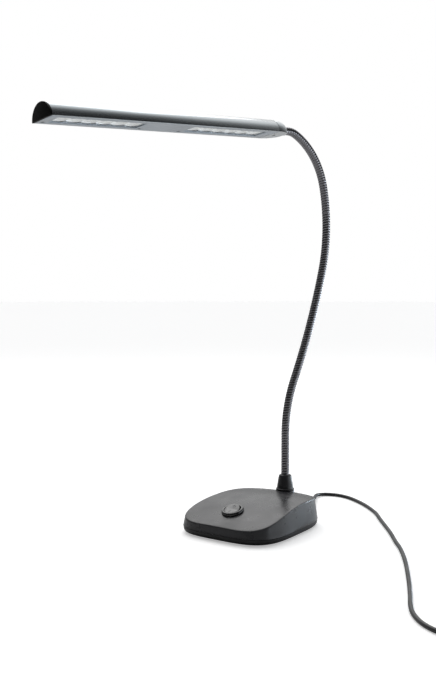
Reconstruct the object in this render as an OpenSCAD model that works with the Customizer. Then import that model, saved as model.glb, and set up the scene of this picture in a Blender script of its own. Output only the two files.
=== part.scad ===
// Piano lamp: a weighted wedge base with a rocker switch, a flexible ribbed neck, a half-round
// lamp head with two light windows, and a thin lead with its plug-in adapter.
// Millimetres. The desk is z = 0, the front of the base faces -Y, the origin is under its middle.

/* [Base] */
// Half the width of the base
base_half_w = 54.4; // [50:0.2:60]
// Half the length of the base, front to rear
base_half_l = 68; // [64:0.5:74]
// Squareness of the outline's corners, 2 being an ellipse
base_corner = 3.7; // [3:0.1:4.6]
// Share by which the base narrows towards its rear
base_taper = 0.126; // [0.08:0.002:0.15]
// Height of the joint between tray and shell
parting_z = 7; // [6.4:0.2:8]
// Inward lean of the side walls, per unit of height
wall_lean = 0.144; // [0.08:0.004:0.18]
// Height of the highest line across the top
crest_z = 33; // [31:0.5:37]
// Place of that line behind the middle
crest_y = 18.8; // [14:0.4:24]
// Radius of the top's arch from front to rear
arch_r = 204; // [195:1:240]
// Radius of the top's crown from side to side
crown_r = 512; // [400:4:900]
// Rounding of the top's edge
edge_r = 1.2; // [0.6:0.1:2]
// Wall of the shell and the tray
wall = 2.2; // [1.8:0.1:2.8]
// Thickness of the tray's floor
tray_floor = 2.5; // [2.2:0.1:3.2]
// Step of the tray behind the shell's lower edge
tray_step = 0.4; // [0.2:0.1:0.8]
// Height of the tray's rounded lower lip
lip_h = 4; // [3:0.2:5]
// Inward reach of the tray's rounded lower lip
lip_in = 3; // [2:0.2:4]
// Height of the tray's rim inside the shell
tongue_h = 2; // [1:0.2:3]
// Thickness of the tray's rim inside the shell
tongue_w = 1.5; // [1.2:0.1:2]
// Thickness of the rubber pad underneath
pad_h = 1.2; // [0.8:0.1:2]
// Distance of the pad's edge inside the outline
pad_inset = 12; // [11:0.5:15]

/* [Ballast] */
// Half the width of the steel plate
ballast_half_w = 38; // [32:0.5:40]
// Length of the steel plate
ballast_l = 66; // [56:1:67]
// Thickness of the steel plate
ballast_h = 12; // [8:0.5:12]
// Radius of the posts that hold the plate in place
post_r = 3; // [2.4:0.1:3.6]

/* [Case screws] */
// Radius of the screws' heads
case_head_r = 2.7; // [2.4:0.1:3]
// Radius of the screws' shanks
case_shank_r = 1.3; // [1:0.1:1.6]
// Length of the screws under the head
case_shank_l = 11; // [8:0.5:12]
// Distance of the screws from the front and rear ends
case_screw_inset_y = 18; // [17:0.5:20]
// Distance of the front screws from the middle plane
case_screw_front_x = 41; // [40:0.5:43]
// Distance of the rear screws from the middle plane
case_screw_rear_x = 33; // [32.5:0.5:35]

/* [Rocker switch] */
// Distance of the switch from the front end of the base
switch_from_front = 29.4; // [28:0.2:31]
// Outer radius of the bezel
bezel_r = 11.4; // [11:0.1:12.4]
// Height of the bezel above its seat
bezel_h = 3; // [2.4:0.1:3.4]
// Outer radius of the barrel below the bezel
barrel_r = 9.9; // [9.7:0.1:10.2]
// Depth of the barrel
barrel_d = 12; // [10.5:0.2:12.4]
// Radius of the opening that holds the rocker
rocker_open_r = 8.9; // [8.8:0.05:9.1]
// Widest radius of the rocker
rocker_r = 8.3; // [7.8:0.1:8.3]
// Tilt of the rocker each way from level
rock_angle = 8; // [5:0.5:8]
// Radius of the rocker's pin
rocker_pin_r = 1; // [0.8:0.1:1.2]

/* [Neck] */
// Distance of the neck from the rear end of the base
neck_from_rear = 12.8; // [12.4:0.2:14]
// Outer radius of the ribbed neck
neck_r = 4; // [3.8:0.1:4.3]
// Depth of the grooves between the ribs
groove = 0.45; // [0.3:0.05:0.6]
// Distance from rib to rib
rib_pitch = 2.25; // [2.2:0.05:3]
// Straight length that rises from the socket
neck_rise = 54.6; // [46:0.2:62]
// Length of the bend that leans backwards
lean_back_l = 61; // [56:1:68]
// Angle of the bend that leans backwards
lean_back_a = 24.4; // [20:0.2:28]
// Length of the long sweep
sweep_l = 121.6; // [112:0.2:132]
// Angle of the long sweep, forwards
sweep_a = 9.4; // [7:0.2:13]
// Length of the bend that comes forwards
come_forward_l = 94.8; // [86:0.2:102]
// Angle of the bend that comes forwards
come_forward_a = 28.4; // [25:0.2:32]
// Length of the bend over the top
top_bend_l = 69.6; // [64:0.2:75]
// Angle of the bend over the top
top_bend_a = 51.4; // [47:0.2:55]
// Length of the short bend before the head
head_bend_l = 12; // [10:0.5:14]
// Angle of the short bend before the head
head_bend_a = 27.6; // [24:0.2:30]
// Length of the straight end in the ferrule
ferrule_l = 5; // [4:0.5:6]
// Turn of the neck's plane about the upright, towards the lamp's left
neck_yaw = -12.8; // [-30:0.2:30]
// Number of places where the neck bends
bend_count = 7; // [7:1:7]
// Length along the neck to the first such place
first_bend_s = 30; // [26:0.5:36]
// Length from the last such place to the neck's end
last_bend_s = 24; // [20:0.5:28]
// Radius of the ball at each such place
ball_r = 2.6; // [2.4:0.05:2.7]
// Radius of the stem that carries the ball
stem_r = 1.5; // [1.3:0.05:1.6]
// Greatest angle of each bend
bend_range = 25; // [10:1:25]

/* [Collar] */
// Height of the collar
collar_h = 17; // [15:0.5:19]
// Radius of the collar's foot
collar_foot_r = 9.7; // [9.3:0.1:9.8]
// Radius of the collar's body above its foot
collar_body_r = 8.8; // [8.3:0.1:9]
// Radius of the collar's body below its shoulder
collar_neck_r = 6.9; // [6.9:0.1:7.6]
// Height of the collar's foot
collar_foot_h = 2; // [1.4:0.1:2.6]
// Radius of the socket inside the collar
socket_r = 6.2; // [6:0.1:6.2]
// Radius of the socket's thread
thread_r = 5; // [4.6:0.1:5.2]
// Depth of the neck's end in the socket
socket_depth = 8; // [6:0.5:9]
// Width across the flats of the nut
nut_af = 14; // [13:0.5:15]

/* [Head] */
// Half the width of the lamp head
head_half_w = 16.7; // [16:0.1:18]
// Height of the lamp head above its flat underside
head_h = 15.3; // [14.6:0.1:16.7]
// Length of the half-round shell
shell_l = 266; // [262:1:290]
// Wall of the half-round shell
shell_wall = 1.3; // [1:0.1:1.6]
// Length of the tail cap between shell and neck
tail_l = 21; // [18:0.5:26]
// Height of the neck's axis above the flat underside
axis_above_flat = 5.2; // [5.1:0.1:5.8]
// Roll of the head about its length
head_roll = -5.6; // [-12:0.2:12]
// Thickness of the black end cap
end_cap_t = 2; // [1.5:0.1:3]
// Radius of the bright ferrule on the neck's end
ferrule_r = 4.8; // [4.7:0.05:4.8]

/* [Light plate] */
// Half the width of the plate between the shell's lips
plate_half_w = 14.4; // [14.4:0.1:14.6]
// Thickness of the plate's visible part
plate_t = 1.3; // [1.3:0.1:1.6]
// Thickness of the plate's inner flange
flange_t = 1.1; // [0.9:0.1:1.4]
// Length of one light window
window_l = 94; // [90:1:96]
// Width of the light windows
window_w = 19; // [17:0.2:19.4]
// Distance of the first window from the tail cap
window_tail_gap = 12; // [11:0.5:14]
// Distance of the second window from the end cap's outer face
window_free_gap = 12; // [10.5:0.5:14]
// Number of light cells in one window
cells = 6; // [4:1:6]
// Radius of a cell's mouth
cell_r = 7.9; // [7:0.1:8]
// Radius of the scallops in the plate's inner frame
scallop_r = 9.3; // [8.6:0.1:9.4]
// Depth of a cell
cell_depth = 3.2; // [2.6:0.1:3.6]
// Side of a light emitter
emitter_w = 3.4; // [2.8:0.1:4]
// Thickness of the circuit boards
board_t = 1.6; // [1:0.1:1.6]
// Thickness of the clear window panes
pane_t = 0.8; // [0.6:0.1:1]
// Radius of the plate screws' heads
plate_head_r = 1.9; // [1.7:0.1:2.1]

/* [Lead] */
// Thickness of the lead
lead_d = 4; // [3.6:0.1:4]
// Height at which the lead leaves the base
lead_z = 12.5; // [12.3:0.1:13]
// Length of the bushing outside the base
bushing_l = 16; // [14:0.5:16]

/* [Adapter] */
// Width of the adapter
adapter_w = 40; // [36:1:44]
// Length of the adapter
adapter_l = 58; // [54:1:60]
// Height of the adapter as it lies
adapter_h = 28; // [24:1:32]
// Radius of the adapter's pins
mains_pin_r = 2; // [1.9:0.05:2.4]
// Length of the adapter's pins
mains_pin_l = 19; // [17:0.5:19]
// Distance between the adapter's pins
mains_pin_gap = 19; // [17.5:0.5:19]

/* [Fits] */
// Gap round pieces that slide or turn in others
fit = 0.05; // [0.03:0.01:0.1]
// Gap round pieces that are dropped into place
slack = 0.2; // [0.1:0.05:0.3]

/* [Hidden] */

round_fn = 64;
small_fn = 32;
outline_steps = 48;
floor_z = pad_h + tray_floor;
tray_margin = 6.4;

anthracite = [0.2, 0.2, 0.21];
dark = [0.09, 0.09, 0.1];
grey_metal = [0.5, 0.52, 0.54];

// ---- outline and top of the base

function plan_r(a, inset) =
    pow(pow(abs(cos(a)) / (base_half_w - inset), base_corner)
        + pow(abs(sin(a)) / (base_half_l - inset), base_corner), -1 / base_corner);
function plan_point(a, inset, share = 1) =
    let(r = share * plan_r(a, inset))
    [r * cos(a) * (1 - base_taper * r * sin(a) / base_half_l), r * sin(a)];
function top_z(p) = crest_z - pow(p.y - crest_y, 2) / (2 * arch_r) - pow(p.x, 2) / (2 * crown_r);
function lean(a) = wall_lean * (top_z(plan_point(a, 0)) - parting_z);
// Angles round the outline, closer together at the corners.
function signed_root(v) = sign(v) * pow(abs(v), 2 / base_corner);
function turn_angles() = [for (i = [0 : outline_steps - 1]) let(t = 360 * (i + 0.5) / outline_steps)
    atan2(base_half_l * signed_root(sin(t)), base_half_w * signed_root(cos(t)))];
function level_ring(inset, z) =
    [for (a = turn_angles()) let(p = plan_point(a, inset)) [p.x, p.y, z]];
function top_ring(inset, drop, share = 1) =
    [for (a = turn_angles()) let(p = plan_point(a, inset + lean(a), share)) [p.x, p.y, top_z(p) - drop]];

// A closed body through rings of equal count, from bottom to top.
module loft(rings) {
    n = len(rings[0]);
    last = len(rings) - 1;
    points = [for (ring = rings, p = ring) p];
    bottom = [for (i = [0 : n - 1]) i];
    top = [for (i = [0 : n - 1]) last * n + n - 1 - i];
    sides = [for (k = [0 : last - 1], i = [0 : n - 1])
        each [[k * n + i, (k + 1) * n + i, (k + 1) * n + (i + 1) % n],
              [k * n + i, (k + 1) * n + (i + 1) % n, k * n + (i + 1) % n]]];
    polyhedron(points = points, faces = concat([bottom, top], sides), convexity = 6);
}

module shell_form() {
    inner_shares = [0.75, 0.5, 0.25, 0.01];
    loft(concat(
        [level_ring(0, parting_z)],
        [for (e = [0 : 30 : 90]) top_ring(edge_r * (1 - cos(e)), edge_r * (1 - sin(e)))],
        [for (s = inner_shares) top_ring(edge_r, 0, s)]));
}

module shell_hollow() {
    loft([level_ring(wall, parting_z - 1), level_ring(wall, parting_z),
        top_ring(wall, wall), top_ring(wall, wall, 0.6), top_ring(wall, wall, 0.3),
        top_ring(wall, wall, 0.01)]);
}

// ---- places on the base

neck_y = base_half_l - neck_from_rear;
switch_y = switch_from_front - base_half_l;
switch_tilt = atan((crest_y - switch_y) / arch_r);
case_screw_places = [for (end = [[-1, case_screw_front_x], [1, case_screw_rear_x]], side = [-1, 1])
    [side * end[1], end[0] * (base_half_l - case_screw_inset_y)]];

module at_switch() {
    translate([0, switch_y, top_z([0, switch_y])]) rotate([switch_tilt, 0, 0]) children();
}

switch_seat_d = 0.4;
neck_seat_r = collar_foot_r + 0.2;
neck_seat_top = top_z([0, neck_y - neck_seat_r]) + 0.1;
neck_seat_h = 7;
neck_seat_z = neck_seat_top - neck_seat_h;
boss_r = 4;
head_recess = 1.6;
// The inside of a wall leans a little more than its outside.
inner_lean = 1.2 * wall_lean;
tongue_lean = inner_lean * tongue_h;

// ---- base

module base_shell() color(anthracite) difference() {
    union() {
        difference() {
            shell_form();
            shell_hollow();
        }
        // Bosses that the case screws bite into, and the thick seat under the neck.
        intersection() {
            union() {
                for (p = case_screw_places) translate([p.x, p.y, floor_z]) cylinder(r = boss_r, h = crest_z, $fn = small_fn);
                translate([0, neck_y, neck_seat_z]) cylinder(r = neck_seat_r, h = crest_z, $fn = round_fn);
            }
            translate([0, 0, -wall / 2]) union() {
                shell_form();
                loft([level_ring(wall, 0), level_ring(wall, parting_z + wall)]);
            }
        }
        translate([0, neck_y, neck_seat_z]) cylinder(r = neck_seat_r, h = neck_seat_h, $fn = round_fn);
    }
    for (p = case_screw_places)
        translate([p.x, p.y, 0]) cylinder(r = case_shank_r + fit, h = pad_h + head_recess + case_shank_l + 1, $fn = small_fn);
    translate([0, neck_y, 0]) cylinder(r = thread_r + fit, h = 2 * crest_z, $fn = round_fn);
    at_switch() {
        translate([0, 0, -switch_seat_d]) cylinder(r = bezel_r + fit, h = 5, $fn = round_fn);
        translate([0, 0, -wall * 3]) cylinder(r = barrel_r + fit, h = wall * 4, $fn = round_fn);
    }
    translate([0, base_half_l, lead_z]) rotate([90, 0, 0])
        cylinder(r = bushing_neck_r, h = 4 * wall, center = true, $fn = small_fn);
}

module base_tray() color(dark) difference() {
    union() {
        loft(concat(
            [for (e = [0 : 30 : 90]) level_ring(tray_step + lip_in * (1 - sin(e)), pad_h + lip_h * (1 - cos(e)))],
            [level_ring(tray_step, parting_z)]));
        loft([level_ring(wall + slack, floor_z), level_ring(wall + slack, parting_z),
            level_ring(wall + slack + tongue_lean, parting_z + tongue_h)]);
    }
    difference() {
        loft([level_ring(wall + slack + tongue_w, floor_z),
            level_ring(wall + slack + tongue_w, parting_z + tongue_h + 1)]);
        for (side = [-1, 1]) translate([side * post_x, post_y, 0]) cylinder(r = post_r, h = floor_z + ballast_h / 2, $fn = small_fn);
    }
    for (p = case_screw_places) translate([p.x, p.y, 0]) {
        cylinder(r = case_shank_r + slack, h = 2 * floor_z, $fn = small_fn);
        cylinder(r = case_head_r + slack, h = pad_h + head_recess, $fn = small_fn);
    }
    for (p = case_screw_places)
        translate([p.x, p.y, floor_z]) cylinder(r = boss_r + slack, h = parting_z + tongue_h, $fn = small_fn);
    translate([0, base_half_l, lead_z]) rotate([90, 0, 0])
        cylinder(r = bushing_flange_r + slack, h = 6 * wall, center = true, $fn = small_fn);
}

module base_pad() color([0.06, 0.06, 0.06])
    loft([level_ring(pad_inset, 0), level_ring(pad_inset, pad_h)]);

ballast_rear = neck_y - 11;
post_x = ballast_half_w - 9;
post_y = ballast_rear - ballast_l / 2;

module ballast_plate() color([0.42, 0.43, 0.45]) difference() {
    translate([-ballast_half_w, ballast_rear - ballast_l, floor_z])
        cube([2 * ballast_half_w, ballast_l, ballast_h]);
    for (side = [-1, 1]) translate([side * post_x, post_y, 0])
        cylinder(r = post_r + slack, h = 2 * crest_z, $fn = small_fn);
}

module case_screws() color([0.55, 0.55, 0.56]) for (p = case_screw_places)
    translate([p.x, p.y, pad_h + head_recess]) difference() {
        union() {
            translate([0, 0, -1.4]) cylinder(r = case_head_r, h = 1.4, $fn = small_fn);
            cylinder(r = case_shank_r, h = case_shank_l - 1.5, $fn = small_fn);
            translate([0, 0, case_shank_l - 1.5]) cylinder(r1 = case_shank_r, r2 = 0.3, h = 1.5, $fn = small_fn);
        }
        for (turn = [0, 90]) rotate([0, 0, turn]) translate([-1.5, -0.3, -2]) cube([3, 0.6, 1.4]);
    }

// ---- rocker switch, drawn about its seat on the sloping top

rocker_pivot_z = -1.2;
rocker_top_z = 4;
rocker_low_z = -4.5;
rocker_cavity_z = -7;

module switch_housing() color(dark) at_switch() difference() {
    union() {
        rotate_extrude($fn = round_fn) polygon(concat(
            [[0, -switch_seat_d], [bezel_r, -switch_seat_d]],
            [for (e = [0 : 15 : 75]) [bezel_r - 1.6 * (1 - cos(e)), bezel_h - switch_seat_d - 1.6 * (1 - sin(e))]],
            [[bezel_r - 1.6, bezel_h - switch_seat_d], [0, bezel_h - switch_seat_d]]));
        translate([0, 0, -barrel_d]) cylinder(r = barrel_r, h = barrel_d, $fn = round_fn);
    }
    translate([0, 0, rocker_cavity_z]) cylinder(r = rocker_open_r, h = 20, $fn = round_fn);
    translate([0, 0, rocker_pivot_z]) rotate([0, 90, 0])
        cylinder(r = rocker_pin_r + fit / 2, h = 2 * (barrel_r - slack), center = true, $fn = small_fn);
}

module switch_rocker() color([0.13, 0.13, 0.14])
    at_switch() translate([0, 0, rocker_pivot_z]) rotate([rock_angle, 0, 0]) difference() {
        intersection() {
            rotate_extrude($fn = round_fn) polygon([[0, rocker_low_z - rocker_pivot_z],
                [rocker_r - 0.4, rocker_low_z - rocker_pivot_z], [rocker_r, 0],
                [rocker_r - 0.5, rocker_top_z - rocker_pivot_z + 1.2], [0, rocker_top_z - rocker_pivot_z + 1.2]]);
            // The top is a shallow V, so that one half is level when the other is raised.
            rotate([90, 0, 90]) linear_extrude(height = 4 * rocker_r, center = true)
                polygon([[-rocker_r, -8], [rocker_r, -8],
                    [rocker_r, rocker_top_z - rocker_pivot_z + rocker_r * tan(rock_angle)],
                    [0, rocker_top_z - rocker_pivot_z],
                    [-rocker_r, rocker_top_z - rocker_pivot_z + rocker_r * tan(rock_angle)]]);
        }
        rotate([0, 90, 0]) cylinder(r = rocker_pin_r + fit, h = 4 * rocker_r, center = true, $fn = small_fn);
    }

module switch_pin() color([0.7, 0.7, 0.72]) at_switch() translate([0, 0, rocker_pivot_z])
    rotate([0, 90, 0]) cylinder(r = rocker_pin_r, h = 2 * (barrel_r - slack), center = true, $fn = small_fn);

module switch_terminals() color([0.78, 0.62, 0.3]) at_switch() for (side = [-1, 1])
    translate([side * 4, 0, -barrel_d - 3]) difference() {
        cube([0.8, 4.8, 6], center = true);
        translate([0, 0, -1]) rotate([0, 90, 0]) cylinder(r = 0.8, h = 3, center = true, $fn = small_fn);
    }

// ---- lead inside the base

bushing_neck_r = 3.6;
bushing_flange_r = 4.8;
bushing_tip_r = lead_d / 2 + 0.8;
lead_exit_y = base_half_l + bushing_l;
inner_lead_start = ballast_rear + 1;

// Inner and outer face of the rear wall at the lead's height.
rear_wall_y = base_half_l - wall_lean * (lead_z - parting_z);

module lead_bushing() color([0.07, 0.07, 0.07]) difference() {
    translate([0, lead_exit_y, lead_z]) rotate([90, 0, 0]) rotate_extrude($fn = small_fn) polygon([
        [0, 0], [bushing_tip_r, 0], [bushing_tip_r + 0.3, 0.6],
        [bushing_flange_r - 0.6, lead_exit_y - rear_wall_y - 2.4],
        [bushing_flange_r, lead_exit_y - rear_wall_y - 2], [bushing_flange_r, lead_exit_y - rear_wall_y - slack * 4],
        [bushing_neck_r - fit, lead_exit_y - rear_wall_y - slack * 4],
        [bushing_neck_r - fit, lead_exit_y - rear_wall_y + wall + slack * 6],
        [bushing_flange_r - 0.3, lead_exit_y - rear_wall_y + wall + slack * 6],
        [bushing_flange_r - 0.3, lead_exit_y - rear_wall_y + wall + 2.4], [0, lead_exit_y - rear_wall_y + wall + 2.4]]);
    translate([0, lead_exit_y + 1, lead_z]) rotate([90, 0, 0])
        cylinder(r = lead_d / 2 + fit, h = 60, $fn = small_fn);
}

module lead_clamp() color([0.15, 0.15, 0.16]) difference() {
    translate([-9, inner_lead_start + 1, floor_z]) cube([18, 5, lead_z - floor_z + lead_d / 2 - 0.4]);
    translate([0, inner_lead_start, lead_z]) rotate([-90, 0, 0])
        cylinder(r = lead_d / 2 + fit, h = 10, $fn = small_fn);
}

module inner_lead() color([0.05, 0.05, 0.05])
    translate([0, inner_lead_start, lead_z]) rotate([-90, 0, 0])
        cylinder(r = lead_d / 2, h = lead_exit_y - fit - inner_lead_start, $fn = small_fn);

// ---- neck socket and collar

socket_top = neck_seat_top + collar_h - 4.4;
neck_start_z = socket_top - socket_depth;
washer_t = 1;
nut_h = 4.5;
washer_r = neck_from_rear - wall - inner_lean * (neck_seat_z - parting_z) - slack;
wire_r = 2.2;

module neck_socket() color([0.6, 0.6, 0.62]) translate([0, neck_y, 0]) difference() {
    union() {
        translate([0, 0, neck_seat_top]) cylinder(r = socket_r, h = socket_top - neck_seat_top, $fn = round_fn);
        translate([0, 0, neck_seat_z - washer_t - nut_h - 2])
            cylinder(r = thread_r, h = neck_seat_h + washer_t + nut_h + 2, $fn = round_fn);
    }
    translate([0, 0, neck_start_z]) cylinder(r = neck_r + fit, h = socket_depth + 1, $fn = round_fn);
    cylinder(r = wire_r, h = 3 * crest_z, $fn = small_fn);
}

module neck_washer() color([0.66, 0.66, 0.68]) translate([0, neck_y, neck_seat_z - washer_t]) difference() {
    cylinder(r = washer_r, h = washer_t, $fn = round_fn);
    translate([0, 0, -1]) cylinder(r = thread_r + fit, h = washer_t + 2, $fn = round_fn);
}

module neck_nut() color([0.66, 0.66, 0.68]) translate([0, neck_y, neck_seat_z - washer_t - nut_h]) difference() {
    cylinder(r = nut_af / sqrt(3), h = nut_h, $fn = 6);
    translate([0, 0, -1]) cylinder(r = thread_r + fit, h = nut_h + 2, $fn = round_fn);
}

module neck_collar() color(dark) translate([0, neck_y, neck_seat_top]) difference() {
    rotate_extrude($fn = round_fn) polygon(concat(
        [[0, 0], [collar_foot_r, 0], [collar_foot_r, collar_foot_h - 0.5],
         [collar_foot_r - 0.4, collar_foot_h], [collar_body_r + 0.1, collar_foot_h + 0.1],
         [collar_body_r, collar_foot_h + 0.6], [(collar_body_r * 0.55 + collar_neck_r * 0.45) + 0.15, collar_h * 0.5]],
        [for (e = [0 : 15 : 90]) [collar_neck_r - 2.4 * (1 - cos(e)), collar_h - 2.4 * (1 - sin(e))]],
        [[0, collar_h]]));
    translate([0, 0, -1]) cylinder(r = socket_r + fit, h = socket_top - neck_seat_top + 1.2, $fn = round_fn);
    cylinder(r = neck_r + 2 * fit, h = 2 * collar_h, $fn = round_fn);
}

// ---- flexible neck: a path of arcs in one upright plane

neck_arcs = [[neck_rise, 0], [lean_back_l, lean_back_a], [sweep_l, -sweep_a],
    [come_forward_l, -come_forward_a], [top_bend_l, -top_bend_a],
    [head_bend_l, -head_bend_a], [ferrule_l, 0]];
neck_l = neck_rise + lean_back_l + sweep_l + come_forward_l + top_bend_l + head_bend_l + ferrule_l;

// Place and heading after length s: [y, z, angle from the upright], backwards being positive.
function arc_end(state, l, a) = abs(a) < 0.001
    ? [state[0] + l * sin(state[2]), state[1] + l * cos(state[2]), state[2]]
    : let(r = l / a * 180 / PI)
      [state[0] + r * (cos(state[2]) - cos(state[2] + a)), state[1] + r * (sin(state[2] + a) - sin(state[2])), state[2] + a];
function neck_at(s, k = 0, state = [0, neck_start_z, 0]) =
    let(l = neck_arcs[k][0], a = neck_arcs[k][1])
    (s <= l || k == len(neck_arcs) - 1) ? arc_end(state, s, a * s / l)
        : neck_at(s - l, k + 1, arc_end(state, l, a));
function neck_ring(s, r, sides) = let(p = neck_at(s))
    [for (i = [0 : sides - 1]) let(a = 360 * (i + 0.5) / sides)
        [r * cos(a), p[0] + r * sin(a) * cos(p[2]), p[1] - r * sin(a) * sin(p[2])]];
function bend_s(k) = first_bend_s + (neck_l - first_bend_s - last_bend_s) * (k - 1) / (bend_count - 1);

module in_neck_plane() translate([0, neck_y, 0]) rotate([0, 0, neck_yaw]) children();
module at_neck(s) {
    p = neck_at(s);
    translate([0, p[0], p[1]]) rotate([-p[2], 0, 0]) children();
}

rib_sides = 8;
valley_r = neck_r - groove;
cup_lip = 0.9;
stem_gap = 0.15 + cup_lip * cos(bend_range) + valley_r * sin(bend_range);
bore_r = 1.7;
ball_bore_r = 0.9;

// One length of the neck between two bending places, with a cup below and a ball above.
module neck_length(k) {
    low = k == 1 ? 0 : bend_s(k - 1) - cup_lip;
    high = k == bend_count + 1 ? neck_l : bend_s(k) - stem_gap;
    ribs = round((high - low) / rib_pitch);
    bore_low = k == 1 ? low - 1 : bend_s(k - 1);
    bore_high = k == bend_count + 1 ? high + 1 : high - 2;
    bore_steps = 6;
    in_neck_plane() difference() {
        union() {
            loft([for (i = [0 : 2 * ribs])
                neck_ring(low + (high - low) * i / (2 * ribs), i % 2 == 0 ? valley_r : neck_r, rib_sides)]);
            if (k <= bend_count) at_neck(bend_s(k)) {
                translate([0, 0, -stem_gap - 1]) cylinder(r = stem_r, h = stem_gap + 1, $fn = small_fn);
                sphere(r = ball_r, $fn = round_fn);
            }
        }
        if (k > 1) at_neck(bend_s(k - 1)) sphere(r = ball_r + fit, $fn = round_fn);
        loft([for (i = [0 : bore_steps])
            neck_ring(bore_low + (bore_high - bore_low) * i / bore_steps, bore_r, rib_sides)]);
        if (k <= bend_count) at_neck(bend_s(k)) translate([0, 0, -stem_gap - 4])
            cylinder(r = ball_bore_r, h = stem_gap + 4 + 2 * ball_r, $fn = small_fn);
    }
}

// ---- lamp head, drawn about the neck's end with its free end towards -Y

neck_end = neck_at(neck_l);
head_pitch = -neck_end[2] - 90;
flat_z = -axis_above_flat;
arc_r = (head_half_w * head_half_w + head_h * head_h) / (2 * head_h);
free_end_y = -tail_l - shell_l;

module in_head() in_neck_plane() translate([0, neck_end[0], neck_end[1]])
    rotate([head_pitch, 0, 0]) rotate([0, head_roll, 0]) children();

// Half-round section, standing on y = 0, drawn in by inset all round.
module head_section(inset) intersection() {
    translate([0, head_h - arc_r]) circle(r = arc_r - inset, $fn = 2 * round_fn);
    translate([-2 * head_half_w, inset]) square([4 * head_half_w, 2 * head_h]);
}
// Pushes a section from y = start towards the free end.
module along_head(start, l) translate([0, start, flat_z]) rotate([90, 0, 0]) linear_extrude(height = l) children();

module head_shell() color(grey_metal) in_head() along_head(-tail_l, shell_l) difference() {
    head_section(0);
    head_section(shell_wall);
    translate([-plate_half_w - fit, -1]) square([2 * (plate_half_w + fit), 3]);
}

cap_plug_l = window_free_gap - end_cap_t - tray_margin - 0.6;

module end_cap() color([0.03, 0.03, 0.03]) in_head() {
    along_head(free_end_y, end_cap_t) head_section(0);
    along_head(free_end_y + cap_plug_l, cap_plug_l) difference() {
        head_section(shell_wall + fit);
        head_section(shell_wall + 2);
        translate([-head_half_w, 0]) square([2 * head_half_w, plate_top + slack]);
    }
}

// Tail cap: the section shrinks along a quarter of an ellipse to a small round nose.
nose_half_w = 5.6;
nose_h = 2 * axis_above_flat + 0.3;
function tail_ring(t) =
    let(k = sqrt(1 - pow(t, 2.4)),
        w = nose_half_w + (head_half_w - nose_half_w) * k,
        h = nose_h + (head_h - nose_h) * k,
        r = (w * w + h * h) / (2 * h),
        a0 = asin((r - h) / r))
    [for (i = [0 : 20]) let(a = a0 + (180 - 2 * a0) * i / 20)
        [r * cos(a), -tail_l * (1 - t), flat_z + h - r + r * sin(a)]];

module tail_cap() color([0.3, 0.31, 0.32]) in_head() difference() {
    union() {
        loft([for (t = [1, 0.95, 0.87, 0.76, 0.62, 0.45, 0.25, 0]) tail_ring(t)]);
        along_head(1 - tail_l, window_tail_gap - tray_margin + 0.4) difference() {
            head_section(shell_wall + fit);
            translate([-head_half_w, 0]) square([2 * head_half_w, plate_top + slack]);
        }
    }
    translate([0, 1, 0]) rotate([90, 0, 0]) cylinder(r = ferrule_stem_r + fit, h = ferrule_stem_l + 1, $fn = small_fn);
    translate([0, 1, 0]) rotate([90, 0, 0]) cylinder(r = ferrule_r + fit, h = ferrule_seat + 1, $fn = round_fn);
    translate([0, 1, 0]) rotate([90, 0, 0]) cylinder(r = wire_r, h = 2 * tail_l, $fn = small_fn);
    translate([0, tail_screw_y, flat_z - 1]) {
        cylinder(r = 1.2 + fit, h = axis_above_flat + 1, $fn = small_fn);
        cylinder(r = plate_head_r + fit, h = 2, $fn = small_fn);
    }
}

ferrule_stem_r = 4;
ferrule_stem_l = 18;
ferrule_seat = 1;
tail_screw_y = 3 - ferrule_stem_l;

module head_ferrule() color([0.8, 0.8, 0.82]) in_head() difference() {
    rotate([-90, 0, 0]) union() {
        translate([0, 0, -ferrule_stem_l]) cylinder(r = ferrule_stem_r, h = ferrule_stem_l + 1, $fn = round_fn);
        translate([0, 0, -ferrule_seat]) cylinder(r = ferrule_r, h = ferrule_seat + ferrule_l, $fn = round_fn);
    }
    rotate([-90, 0, 0]) cylinder(r = neck_r + fit, h = 2 * ferrule_l, $fn = round_fn);
    rotate([90, 0, 0]) cylinder(r = wire_r, h = 40, center = true, $fn = small_fn);
    translate([0, tail_screw_y, flat_z - 1]) cylinder(r = 1.2 + fit, h = axis_above_flat + 1, $fn = small_fn);
}

module tail_screw() color([0.25, 0.25, 0.26]) in_head() translate([0, tail_screw_y, flat_z]) {
    cylinder(r = plate_head_r, h = 0.9, $fn = small_fn);
    cylinder(r = 1.2, h = 3, $fn = small_fn);
}

// ---- light plate and what it carries

plate_top = plate_t + flange_t;
// The flange reaches the inside of the half-round shell.
flange_half_w = sqrt(pow(arc_r - shell_wall, 2) - pow(plate_top - head_h + arc_r, 2)) - fit;
window_mids = [-tail_l - window_tail_gap - window_l / 2, free_end_y - end_cap_t + window_free_gap + window_l / 2];
cell_pitch = window_l / cells;
function cell_places(m) = [for (i = [0 : cells - 1]) m + (i - (cells - 1) / 2) * cell_pitch];
tray_half_w = 12.8;
tray_l = window_l + 2 * tray_margin;
screw_x = -11;
screw_dy = window_l / 2 + 4.5;
screw_places = [for (m = window_mids, side = [-1, 1]) if (m + side * screw_dy < -tail_l - 8) [screw_x, m + side * screw_dy]];
pane_z = plate_top;
reflector_z = pane_z + pane_t;
board_z = reflector_z + cell_depth;

module window_block(m, l, w, low, h) translate([-w / 2, m - l / 2, flat_z + low]) cube([w, l, h]);

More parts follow.
